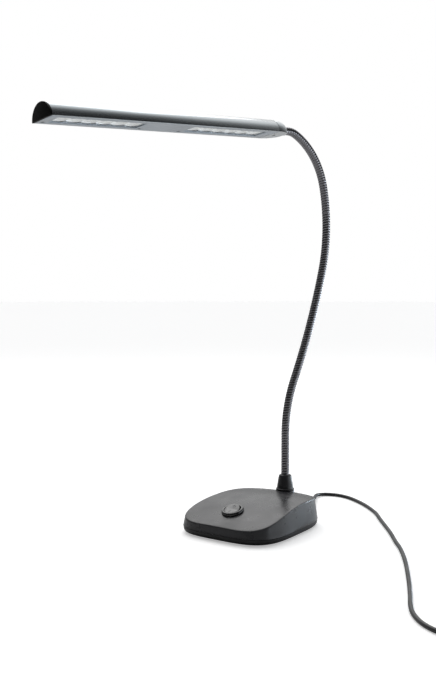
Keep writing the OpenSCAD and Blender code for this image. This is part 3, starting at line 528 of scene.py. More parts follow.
class LAMP_OT_stage(bpy.types.Operator):
    """Make the floor, the lights and the camera"""
    bl_idname = "lamp.stage"
    bl_label = "Stage"

    def studio(self, tree):
        """Level of a soft studio: brightest above and behind the lamp, dark behind the camera."""
        way = wire(tree, "ShaderNodeTexCoord").outputs["Generated"]
        lean = wire(tree, "ShaderNodeVectorMath", {0: way, 1: STUDIO_UP}, operation="DOT_PRODUCT")
        spread = maths(tree, "MULTIPLY_ADD", lean.outputs["Value"], 0.5, 0.5)
        ramp = wire(tree, "ShaderNodeValToRGB", {"Fac": spread})
        stops = ramp.color_ramp.elements
        while len(stops) < len(STUDIO_LEVELS):
            stops.new(0.5)
        for stop, (place, level) in zip(stops, STUDIO_LEVELS):
            stop.position = place
            stop.color = (level, level, level, 1)
        return maths(tree, "MULTIPLY", ramp.outputs["Color"], 2.0)

    def floor(self, st):
        bm = bmesh.new()
        bmesh.ops.create_circle(bm, cap_ends=True, segments=96, radius=12)
        floor = link(bpy.data.objects.new("floor", mesh_from("floor", bm)))
        paint = bpy.data.materials.new("Floor")
        paint.use_nodes = True
        tree = paint.node_tree
        seen = wire(tree, "ShaderNodeLightPath").outputs["Is Camera Ray"]
        feed(tree, tree.nodes["Principled BSDF"], {
            "Base Color": (*st.floor, 1), "Roughness": 0.9, "Specular IOR Level": 0.0,
            "Emission Color": (1, 1, 1, 1), "Emission Strength": maths(tree, "MULTIPLY", seen, st.lift)})
        floor.data.materials.append(paint)

    def execute(self, context):
        scene = context.scene
        st = scene.lamp_stage
        scene.view_settings.view_transform = "Standard"

        cam = link(bpy.data.objects.new("camera", bpy.data.cameras.new("camera")))
        cam.location = st.place
        cam.rotation_euler = (math.pi / 2 - st.pitch, 0, st.turn)
        cam.data.sensor_fit = "VERTICAL"
        cam.data.sensor_height = 36
        cam.data.lens = st.focal
        cam.data.clip_start = 0.01
        cam.data.clip_end = 50
        scene.camera = cam
        self.floor(st)

        # The world: white where the camera looks, also through the panes, and the studio for all else.
        scene.world = bpy.data.worlds.new("World")
        scene.world.use_nodes = True
        tree = scene.world.node_tree
        tree.nodes.clear()
        white = wire(tree, "ShaderNodeBackground", {"Color": (1, 1, 1, 1)})
        soft = wire(tree, "ShaderNodeBackground", {"Color": (0.99, 0.995, 1.0, 1), "Strength": self.studio(tree)})
        path = wire(tree, "ShaderNodeLightPath").outputs
        seen = maths(tree, "MAXIMUM", path["Is Camera Ray"], path["Is Transmission Ray"])
        mix = wire(tree, "ShaderNodeMixShader", {"Fac": seen, 1: soft.outputs[0], 2: white.outputs[0]})
        wire(tree, "ShaderNodeOutputWorld", {"Surface": mix.outputs[0]})

        for name, place, aim, wide, high, power, tint in LAMPS:
            light = link(bpy.data.objects.new(name, bpy.data.lights.new(name, "AREA")))
            light.data.shape = "RECTANGLE"
            light.data.size = wide
            light.data.size_y = high
            light.data.energy = power
            light.data.color = tint
            light.location = place
            light.visible_camera = False
            light.rotation_euler = (Vector(place) - Vector(aim)).to_track_quat("Z", "Y").to_euler()
        return {"FINISHED"}


# ---------------------------------------------------------------- lead and adapter

ROUTE = [(0, 84, 12.5), (0, 91, 12.4), (-1.5, 104, 11.1), (-5, 117, 9), (-11, 130, 7), (-17, 142, 5.4),
         (-23, 153, 4.2), (-27.5, 163, 3.2), (-28, 172, 2.5), (-22.5, 180, 2.1), (-12, 183.5, 2), (0, 182, 2),
         (13, 176, 2), (30, 165, 2), (48, 150.5, 2), (69, 130, 2), (86, 108.5, 2), (100, 91, 2), (115, 72.5, 2),
         (129.5, 53.5, 2), (144, 33.5, 2), (158, 15.5, 2), (177, -13, 2), (195, -43, 2), (217, -82, 2),
         (232, -110, 2), (244, -133, 2), (256, -151, 2), (272, -166, 2), (291, -175, 2.3), (312, -177, 2.8),
         (330, -177, 2.8)]
COIL = dict(x=330.0, y=-150.0, outer=27.0, step=5.0, turns=1.6875, climb=0.5, layers=4, low=2.8, rings=36)
ADAPTER = dict(x=357.0, y=-100.0, width=40.0, length=58.0, height=28.0, relief=18.0, gap=19.0, pin=19.0, lead_z=14.0)
BUSHING_RINGS = 6


def smooth_route(points, steps):
    """A smooth curve through points, with some steps from each to the next."""
    out = []
    n = len(points)
    for i in range(n - 1):
        a, b, c, d = (Vector(points[max(0, min(n - 1, i + k))]) for k in (-1, 0, 1, 2))
        for k in range(steps):
            t = k / steps
            out.append((2 * b + (c - a) * t + (2 * a - 5 * b + 4 * c - d) * t * t
                        + (3 * b - a - 3 * c + d) * t ** 3) / 2)
    out.append(Vector(points[-1]))
    return out


def coil_point(u):
    """Place on the coil after u turns: layers that wind inwards and outwards by turns, each climbing to the next."""
    period = COIL["turns"] + COIL["climb"]
    inner = COIL["outer"] - COIL["step"] * COIL["turns"]
    k = min(int(u / period), COIL["layers"] - 1)
    w = u - k * period
    inwards = k % 2 == 0
    if w < COIL["turns"]:
        r = COIL["outer"] - COIL["step"] * w if inwards else inner + COIL["step"] * w
    else:
        r = inner if inwards else COIL["outer"]
    r = min(r, COIL["outer"])
    climb = max(0.0, w - COIL["turns"]) / COIL["climb"]
    climb = climb * climb * (3 - 2 * climb)
    a = TAU * u - math.pi / 2
    z = COIL["low"] + COIL["step"] * (k + climb)
    return Vector((COIL["x"] + r * math.cos(a), COIL["y"] + r * math.sin(a), z))


def lead_path():
    turns = COIL["layers"] * COIL["turns"] + (COIL["layers"] - 1) * COIL["climb"]
    wound = [coil_point(i / COIL["rings"]) for i in range(1, int(COIL["rings"] * turns) + 1)]
    x, end = ADAPTER["x"], ADAPTER["y"] - ADAPTER["relief"]
    tail = [wound[-1], (x, -142, 17.2), (x, -132, 15), (x, -124, 14), (x, end, ADAPTER["lead_z"])]
    return smooth_route(ROUTE, 4) + wound + smooth_route(tail, 3)[1:]


def tube(bm, path, radius, sides):
    rows = []
    for i, p in enumerate(path):
        t = (path[min(i + 1, len(path) - 1)] - path[max(i - 1, 0)]).normalized()
        side = t.cross(Vector((0, 0, 1))).normalized()
        up = side.cross(t)
        turns = (TAU * (j + 0.5) / sides for j in range(sides))
        rows.append([p + radius * (math.cos(a) * side - math.sin(a) * up) for a in turns])
    loft(bm, rows, True, True)


class LAMP_OT_lead(bpy.types.Operator):
    """Make the lead, its bushing, its tie and the adapter"""
    bl_idname = "lamp.lead"
    bl_label = "Lead and adapter"

    def execute(self, context):
        mats = palette()
        ls, base = context.scene.lamp_lead, context.scene.lamp_base
        path = lead_path()
        bm = bmesh.new()
        tube(bm, path, ls.diameter / MM / 2, 14)
        lead = make("lead_sheath", bm, mats["Lead sheath"], "base", ("lead", "lead_coil"), sharp=60)

        # Bushing with grip rings, on the rear wall.
        bm = bmesh.new()
        wall = (base.half_length - base.lean * (LEAD_Z * MM - base.parting)) / MM
        deep = LEAD_EXIT_Y - wall - 0.8
        span = deep - 2.6
        w = (span - 1.0) / BUSHING_RINGS
        profile = [(2.05, 0), (2.7, 0), (2.95, 0.25)]
        for k in range(BUSHING_RINGS):
            z = 1.0 + w * k
            r = 3.0 + 1.1 * (z / span)
            profile += [(r, z), (r + 0.1, z + 0.55 * w), (r - 0.35, z + 0.62 * w), (r - 0.35, z + 0.95 * w)]
        profile += [(4.2, span + 0.2), (4.6, span + 0.45), (4.8, span + 0.9), (4.8, deep - 0.3), (4.5, deep),
                    (3.5, deep), (3.5, deep + 3), (2.05, deep + 3)]
        spin(bm, profile, 40, shift(0, LEAD_EXIT_Y, LEAD_Z) @ turn_x(math.pi / 2), closed=True)
        make("bushing", bm, mats["Lead sheath"], "base", ("lead_bushing",), sharp=50)

        # Tie: a flat strap round all layers of the coil.
        bm = bmesh.new()
        inner = COIL["outer"] - COIL["step"] * COIL["turns"] - 2.5
        outer = COIL["outer"] + 2.1
        low = 0.8
        high = low + (COIL["layers"] - 1) * COIL["step"] + 4.1
        rows = []
        for d, sides in ((0.0, (-3.5, 3.5)), (0.8, (3.5, -3.5))):
            corners = [(inner - d, low - d), (outer + d, low - d), (outer + d, high + d), (inner - d, high + d)]
            outline = rounded(corners, 1.6 + d, 5)
            rows += [[Vector((COIL["x"] + x, COIL["y"] + y, z)) for y, z in outline] for x in sides]
        loft(bm, rows, joined=True)
        tie = make("tie", bm, mats["Tray plastic"], "base", ("lead_tie",), bevel=0.15)

        [tie] + self.adapter(mats)
        return {"FINISHED"}

    def adapter(self, mats):
        a = ADAPTER
        top = a["height"]

        def block(name, sections, node):
            """A rounded box through sections of (height, inset)."""
            rows = []
            for z, inset in sections:
                w, l = a["width"] / 2 - inset, a["length"] / 2 - inset
                outline = rounded([(-w, -l), (w, -l), (w, l), (-w, l)], 5 - inset * 0.5, 8)
                rows.append([Vector((a["x"] + x, a["y"] + a["length"] / 2 + y, z)) for x, y in outline])
            bm = bmesh.new()
            loft(bm, rows, True, True)
            return make(name, bm, mats["Adapter plastic"], "base", (node,), sharp=40)

        lip = [(2.4 * (1 - c), 2.4 * c) for c, _ in quarter(6)]
        case = block("adapter_case", lip + [(12.5, 0), (12.7, 0.25), (15.3, 0.25), (15.5, 0), (top - 3, 0)],
                     "adapter_housing")
        face = block("adapter_face", [(top - 3, 0.3), (top - 2.6, 0.3), (top - 1, 0.3), (top - 0.3, 0.6), (top, 1.3)],
                     "adapter_cover")

        pins, sleeves = bmesh.new(), bmesh.new()
        tip = a["pin"] - 2
        pin = [(0, 9), (1.9, 9), (2, 9.4), (2, tip)]
        pin += [(2 * math.cos(t), tip + 2 * math.sin(t)) for t in (0.3, 0.6, 0.9, 1.2)] + [(0, a["pin"])]
        for side in (-1, 1):
            at = shift(a["x"] + side * a["gap"] / 2, a["y"] + a["length"] * 0.6, top)
            spin(pins, pin, 28, at)
            spin(sleeves, [(0, 0), (1.98, 0), (1.98, 8.8), (1.8, 9.1), (0, 9.1)], 28, at)
        contacts = make("adapter_contacts", pins, mats["Bright metal"], "base", ("adapter_pins",))
        covers = make("adapter_sleeves", sleeves, mats["Pin sleeve"], "base")

        bm = bmesh.new()
        profile = [(2.05, a["relief"]), (2.6, a["relief"]), (2.8, a["relief"] - 0.3)]
        for k in range(7):
            z = a["relief"] - 1.2 - k * 1.9
            r = 2.8 + 0.24 * k
            profile += [(r, z), (r + 0.05, z - 1.0), (r - 0.35, z - 1.15), (r - 0.35, z - 1.7)]
        profile += [(4.6, 2.6), (5, 2.2), (5, 0), (2.05, 0)]
        spin(bm, profile, 36, shift(a["x"], a["y"], a["lead_z"]) @ turn_x(math.pi / 2), closed=True)
        relief = make("adapter_sleeve", bm, mats["Lead sheath"], "base", ("adapter_relief",), sharp=50)
        return [case, face, contacts, covers, relief]


# ---------------------------------------------------------------- base

def plan_angles(count):
    b = bpy.context.scene.lamp_base
    out = []
    for i in range(count):
        t = TAU * (i + 0.5) / count
        c, s = math.cos(t), math.sin(t)
        out.append(math.atan2(b.half_length * math.copysign(abs(s) ** (2 / b.corner), s),
                              b.half_width * math.copysign(abs(c) ** (2 / b.corner), c)))
    return out


def plan_point(a, inset, share=1.0):
    b = bpy.context.scene.lamp_base
    hw, hl = b.half_width / MM, b.half_length / MM
    reach = abs(math.cos(a) / (hw - inset)) ** b.corner + abs(math.sin(a) / (hl - inset)) ** b.corner
    r = share * reach ** (-1 / b.corner)
    return r * math.cos(a) * (1 - b.taper * r * math.sin(a) / hl), r * math.sin(a)


def wall_lean(a):
    b = bpy.context.scene.lamp_base
    return b.lean * (top_z(*plan_point(a, 0)) - b.parting / MM)


def level_row(angles, inset, z):
    return [Vector((*plan_point(a, inset), z)) for a in angles]


def top_row(angles, inset, drop, share=1.0):
    row = []
    for a in angles:
        x, y = plan_point(a, inset + wall_lean(a), share)
        row.append(Vector((x, y, top_z(x, y) - drop)))
    return row


def case_screw_places():
    return [(s * x, y) for x, y in ((41, -50), (33, 50)) for s in (-1, 1)]


class LAMP_OT_base(bpy.types.Operator):
    """Make the base: shell, tray, pad, screws, ballast and what is inside"""
    bl_idname = "lamp.base"
    bl_label = "Base"

    def execute(self, context):
        mats = palette()
        b = context.scene.lamp_base
        angles = plan_angles(192)
        parting, edge, half_length = b.parting / MM, b.edge / MM, b.half_length / MM

        # Upper shell: leaning wall, rounded edge and arched top, with a real wall thickness.
        rows = [level_row(angles, inset, parting + up) for inset, up in ((0.35, 0), (0.1, 0.1), (0, 0.35))]
        foot, rim = level_row(angles, 0, parting), top_row(angles, 0, edge)
        rows += [[lo.lerp(hi, k / 9) for lo, hi in zip(foot, rim)] for k in range(1, 9)]
        rows += [top_row(angles, edge * (1 - c), edge * (1 - s)) for c, s in quarter(6)]
        rows += [top_row(angles, edge, 0, 1 - k / 26) for k in range(1, 26)]
        bm = bmesh.new()
        outside = loft(bm, rows)
        close_at(bm, outside[-1], top_z(0, 0))
        rows = [level_row(angles, WALL, parting), level_row(angles, WALL, parting + 1)]
        inside = loft(bm, rows + [top_row(angles, WALL, WALL, share) for share in (1, 0.8, 0.6, 0.4, 0.2)])
        close_at(bm, inside[-1], top_z(0, 0) - WALL)
        ring_faces(bm, [outside[0], inside[0]])
        shell = plain("shell", bm)
        holes = bmesh.new()
        rod(holes, STUD_HOLE, 10, 60, 48, shift(0, NECK_Y, 0))
        rod(holes, BOSS + 0.05, -14, 14, 64, switch_place())
        rod(holes, 3.55, -12, 12, 32, shift(0, 66, LEAD_Z) @ turn_x(math.pi / 2))
        cut(shell, holes)
        finish(shell, mats["Base plastic"], "base", ("base_shell",), sharp=32)

        # Seat under the collar: a turned boss that grows out of the sloping top.
        bm = bmesh.new()
        spin(bm, [(STUD_HOLE, 24), (BOSS - 1.5, 24), (BOSS, 25), (BOSS, NECK_SEAT - 0.6),
                  (BOSS - 0.2, NECK_SEAT - 0.2), (BOSS - 0.6, NECK_SEAT), (STUD_HOLE, NECK_SEAT)],
             72, shift(0, NECK_Y, 0), closed=True)
        make("neck_seat", bm, mats["Base plastic"], "base")

        # Tray: rounded lower lip, a fine step below the shell, screw recesses underneath.
        top = parting - 0.1
        rows = [level_row(angles, 0.4 + 3 * (1 - s), 1.2 + 4 * (1 - c)) for c, s in quarter(7)]
        rows += [level_row(angles, inset, z) for inset, z in ((0.4, parting - 0.35), (0.75, top), (2.4, top))]
        bm = bmesh.new()
        rings = loft(bm, rows)
        close_at(bm, rings[0], 1.2, (0.75, 0.4))
        close_at(bm, rings[-1], top, (0.6,))
        tray = plain("tray", bm)
        holes = bmesh.new()
        for x, y in case_screw_places():
            rod(holes, 2.9, 0, 2.8, 40, shift(x, y, 0))
        cut(tray, holes)
        finish(tray, mats["Tray plastic"], "base", ("base_tray",), sharp=32)

        # Rubber pad with a fine raised border and moulded grip ribs.
        bm = bmesh.new()
        pad = plan_angles(128)
        border = ((12, 1.2), (12, 0.25), (12.25, 0), (14.6, 0), (14.8, 0.25))
        rings = loft(bm, [level_row(pad, inset, z) for inset, z in border], cap_first=True)
        close_at(bm, rings[-1], 0.25, (0.5,))
        for k in range(-9, 10):
            y = k * 4.6
            rounding = (1 - (abs(y) / (half_length - 12)) ** b.corner) ** (1 / b.corner)
            end = 37.0 * (1 - b.taper * y / half_length) * rounding - 3
            slab(bm, -end, end, y - 0.7, y + 0.7, 0, 0.3)
        make("pad", bm, mats["Pad rubber"], "base", ("base_pad",))

        for node, name, look, slot, bevel in (
            ("case_screws", "case_fasteners", "Plated steel", "steel", 0.12),
            ("ballast_plate", "ballast", "Plated steel", "steel", 0.5),
            ("lead_clamp", "clamp", "Tray plastic", "black_plastic", 0.25),
            ("inner_lead", "lead_inside", "Lead sheath", "soft_black", 0),
            ("neck_washer", "washer", "Plated steel", "steel", 0.12),
            ("neck_nut", "nut", "Plated steel", "steel", 0.3),
            ("neck_socket", "socket", "Plated steel", "steel", 0.12),
        ):
            dressed(node, name, mats[look], "base", bevel)
        return {"FINISHED"}


# ---------------------------------------------------------------- rocker switch

ROCKER_TILT = math.radians(8)
ROCKER_SCALE = 0.8  # how high the rocker stands, as a share of the solid's
ROCKER_TOP = 5.2 * ROCKER_SCALE


def switch_place():
    b = bpy.context.scene.lamp_base
    slope = math.atan((b.crest_y - SWITCH_Y * MM) / b.arch)
    return shift(0, SWITCH_Y, top_z(0, SWITCH_Y)) @ turn_x(slope)


class LAMP_OT_switch(bpy.types.Operator):
    """Make the round rocker switch with its marks"""
    bl_idname = "lamp.switch"
    bl_label = "Rocker switch"

    def execute(self, context):
        mats = palette()
        s = context.scene.lamp_switch
        place = switch_place()
        out, high, hole = s.bezel / MM, s.bezel_height / MM, s.opening / MM
        bm = bmesh.new()
        profile = [(BOSS, -12), (BOSS, -0.4), (out - 0.3, -0.4), (out, -0.1), (out, 0.7)]
        profile += [(out - 1.7 * (1 - cos), 0.7 + (high - 0.7) * sin) for cos, sin in quarter(8, 1)]
        profile += [(hole + 0.35, high), (hole + 0.1, high - 0.1), (hole, high - 0.35), (hole, -7), (0, -7)]
        spin(bm, profile, 96, place)
        spin(bm, [(0, -12), (BOSS, -12)], 96, place)
        bmesh.ops.remove_doubles(bm, verts=bm.verts, dist=1e-4)
        make("switch_bezel", bm, mats["Switch plastic"], "base", ("switch_housing",), sharp=40)
        dressed("switch_pin", "switch_axle", mats["Plated steel"], "base")
        dressed("switch_terminals", "terminals", mats["Terminal brass"], "base", 0.12)
        rocker = place @ shift(0, 0, -1.2) @ turn_x(ROCKER_TILT)
        back_to = rocker.inverted()

        def flatten(co):
            p = back_to @ (co / MM)
            if p.z > 0:
                p.z *= ROCKER_SCALE
            return (rocker @ p) * MM

        dressed("switch_rocker", "rocker", mats["Switch plastic"], "rocker", 0.45, 4, flatten)

        # The marks: a ring for off on the raised half, a bar for on in front.
        bm = bmesh.new()
        top = rocker @ shift(0, 0, ROCKER_TOP)
        spin(bm, [(1.25, -0.05), (1.25, 0.06), (1.7, 0.06), (1.7, -0.05)], 40,
             top @ turn_x(ROCKER_TILT) @ shift(0, 4.3, 0), closed=True)
        slab(bm, -0.25, 0.25, -1.6, 1.6, -0.05, 0.06, top @ turn_x(-ROCKER_TILT) @ shift(0, -4.3, 0))
        make("rocker_marks", bm, mats["Switch mark"], "rocker")
        return {"FINISHED"}


# ---------------------------------------------------------------- neck

NECK_POINTS = 840
BLEND_REACH = 22.0
COLLAR_HEIGHT = 17.0


def new_tree(name, inputs):
    """A tree for Geometry Nodes, with its inputs and one output; returns it with what comes in."""
    tree = bpy.data.node_groups.new(name, "GeometryNodeTree")
    for key, kind in inputs:
        tree.interface.new_socket(key, in_out="INPUT", socket_type="NodeSocket" + kind)
    tree.interface.new_socket("Geometry", in_out="OUTPUT", socket_type="NodeSocketGeometry")
    return tree, wire(tree, "NodeGroupInput").outputs


def paint_out(tree, geometry, material):
    """Ends a tree: real meshes in one material."""
    real = wire(tree, "GeometryNodeRealizeInstances", {"Geometry": geometry})
    paint = wire(tree, "GeometryNodeSetMaterial", {"Geometry": real.outputs[0], "Material": material})
    wire(tree, "NodeGroupOutput", {"Geometry": paint.outputs[0]})
    return tree


def neck_tree(material):
    """Geometry Nodes: a stretch of flexible metal tube with one rib winding round it along a path."""
    floats = [(name, "Float") for name in ("From", "To", "Radius", "Groove", "Pitch")]
    tree, given = new_tree("Flexible tube", [("Geometry", "Geometry")] + floats + [("Sides", "Int")])

    def capture(kind, name, geometry, value):
        node = wire(tree, "GeometryNodeCaptureAttribute", domain="POINT")
        node.capture_items.new(kind, name)
        feed(tree, node, {"Geometry": geometry, 1: value})
        return node.outputs

    place = wire(tree, "GeometryNodeInputPosition").outputs[0]
    along = wire(tree, "GeometryNodeSplineParameter")
    line = capture("FLOAT", "s", given["Geometry"], along.outputs["Length"])
    trim = wire(tree, "GeometryNodeTrimCurve", {"Curve": line["Geometry"], 4: given["From"], 5: given["To"]},
                mode="LENGTH")
    step = maths(tree, "DIVIDE", given["Pitch"], 8.0)
    sample = wire(tree, "GeometryNodeResampleCurve", {"Curve": trim.outputs[0], "Length": step}, mode="LENGTH")
    centre = capture("VECTOR", "centre", sample.outputs[0], place)

    ring = wire(tree, "GeometryNodeCurvePrimitiveCircle", {"Resolution": given["Sides"], "Radius": given["Radius"]},
                mode="RADIUS")
    around = capture("FLOAT", "turn", ring.outputs["Curve"],
                     wire(tree, "GeometryNodeSplineParameter").outputs["Factor"])
    skin = wire(tree, "GeometryNodeCurveToMesh", {
        "Curve": centre["Geometry"], "Profile Curve": around["Geometry"], "Fill Caps": True})

    # Phase of the rib: the way along over the pitch, less the turn. The groove is deepest where it is whole.
    phase = maths(tree, "SUBTRACT", maths(tree, "DIVIDE", line[1], given["Pitch"]), around[1])
    wave = maths(tree, "MULTIPLY", maths(tree, "FRACT", phase), 2.0)
    dip = maths(tree, "POWER", maths(tree, "ABSOLUTE", maths(tree, "SUBTRACT", wave, 1.0)), 6.0)
    offset = maths(tree, "MULTIPLY", maths(tree, "MULTIPLY", dip, given["Groove"]), -1.0)

    outward = maths(tree, "SUBTRACT", place, centre[1], kind="ShaderNodeVectorMath")
    unit = maths(tree, "NORMALIZE", outward, kind="ShaderNodeVectorMath")
    scale = wire(tree, "ShaderNodeVectorMath", {0: unit, "Scale": offset}, operation="SCALE")
    move = wire(tree, "GeometryNodeSetPosition", {"Geometry": skin.outputs[0], "Offset": scale.outputs[0]})
    smooth = wire(tree, "GeometryNodeSetShadeSmooth", {"Geometry": move.outputs[0]})
    return paint_out(tree, smooth.outputs[0], material)


def run_tree(piece, tree, values):
    """The mesh that a tree makes of a piece, which is then removed."""
    mod = piece.modifiers.new(tree.name, "NODES")
    mod.node_group = tree
    for item in tree.interface.items_tree:
        if item.in_out == "INPUT" and item.name in values:
            mod[item.identifier] = values[item.name]
    bpy.context.view_layer.update()
    mesh = baked(piece)
    bpy.data.objects.remove(piece)
    return mesh


class LAMP_OT_neck(bpy.types.Operator):
    """Make the flexible neck, one stretch across each bend, with its collar and ferrule"""
    bl_idname = "lamp.neck"
    bl_label = "Flexible neck"

    def execute(self, context):
        mats = palette()
        n = context.scene.lamp_neck
        tree = neck_tree(mats["Neck metal"])
        points = [neck_point(NECK_LENGTH * i / NECK_POINTS) for i in range(NECK_POINTS + 1)]
        bodies = ["base"] + [f"neck_{k}" for k in range(2, 8)] + ["head"]
        cuts = [0.0] + [(a + b) / 2 for a, b in zip(BENDS, BENDS[1:])] + [NECK_LENGTH]
        for k, (s, start, end) in enumerate(zip(BENDS, cuts, cuts[1:])):
            data = bpy.data.curves.new(f"neck_path_{k + 1}", "CURVE")
            data.dimensions = "3D"
            line = data.splines.new("POLY")
            line.points.add(NECK_POINTS)
            for p, q in zip(line.points, points):
                p.co = (*q, 1)
            mesh = run_tree(link(bpy.data.objects.new(data.name, data)), tree, {
                "From": start * MM, "To": end * MM, "Radius": n.radius, "Groove": n.groove, "Pitch": n.pitch,
                "Sides": n.sides})
            mesh.name = f"flex_{k + 1}"
            for name in [a.name for a in mesh.attributes if a.name in ("s", "centre", "turn")]:
                mesh.attributes.remove(mesh.attributes[name])
            stretch = link(bpy.data.objects.new(mesh.name, mesh))
            shade(mesh, 70)
            reach = min(BLEND_REACH, s - start, end - s)
            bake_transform(stretch, bodies[k], bodies[k + 1], start=tuple(neck_point(s - reach)),
                     end=tuple(neck_point(s + reach)))
            nodes = [f"neck_{k + 1}"] + (["neck_8"] if k == BEND_COUNT - 1 else [])
            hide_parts(*nodes)

        # Collar: stepped foot, tapering body, rounded shoulder.
        bm = bmesh.new()
        h, foot, shoulder = COLLAR_HEIGHT, 2.7, 2.6
        profile = [(6.25, 0), (9.4, 0), (9.7, 0.3), (9.7, 1.4), (9.5, 1.8), (9.05, 2.0), (8.85, 2.25), (8.75, foot)]
        profile += [(8.75 - 1.35 * t - 0.5 * t * t, foot + (h - foot - shoulder) * t)
                    for t in (k / 9 for k in range(1, 10))]
        r, z = profile[-1]
        profile += [(r - 2.5 * (1 - cos), z + shoulder * sin) for cos, sin in quarter(8, 1)]
        profile += [(4.55, h), (4.4, h - 0.2), (4.4, 12.8), (6.25, 12.8)]
        spin(bm, profile, 80, shift(0, NECK_Y, NECK_SEAT), closed=True)
        make("collar", bm, mats["Collar plastic"], "base", ("neck_collar",), sharp=45)

        # Ferrule: a bright ring with rolled edges round the neck's end.
        bm = bmesh.new()
        spin(bm, [(2.2, -9), (4.35, -9), (4.35, -4), (4.8, -4), (4.8, 0.2), (4.75, 0.6), (4.6, 0.8), (4.45, 0.8),
                  (4.35, 0.6), (4.35, -1), (2.2, -1)], 56, HEAD @ turn_x(-math.pi / 2), closed=True)
        make("ferrule", bm, mats["Bright metal"], "head", ("head_ferrule",), sharp=50)
        return {"FINISHED"}


# ---------------------------------------------------------------- light head

LIP = 14.45  # how far out the slot for the plate reaches
END_GAP = 0.12  # between the shell's ends and the caps
NOSE_GAP = 3.0  # by which the tail cap's nose stops short of the ferrule's edge
NOSE_HALF, NOSE_HIGH = 5.1, 10.3
SHELL_THICK = 1.3
SCALLOP = 9.3
SCREW_RECESS = 1.95
CELL_BASE = 1.55  # height of the light cells above the plate's underside
CELLS_LOWER = 1.65  # by which cells and boards are nearer the underside than the solids


def arch(half, high, inset=0.0, steps=48):
    """Half-round outline from the right foot over the top to the left foot, as (x, z) above the flat."""
    r0 = (half * half + high * high) / (2 * high)
    r = r0 - inset
    mid = high - r0
    a0 = math.asin((inset - mid) / r)
    angles = (a0 + (math.pi - 2 * a0) * i / steps for i in range(steps + 1))
    return [(r * math.cos(a), mid + r * math.sin(a)) for a in angles]


def section(line, y):
    """An outline of (x, z) set across the head at one place along it."""
    return [FLAT @ Vector((x, y, z)) for x, z in line]


def window_size():
    h = bpy.context.scene.lamp_head
    return h.window_length / MM, h.window_width / MM


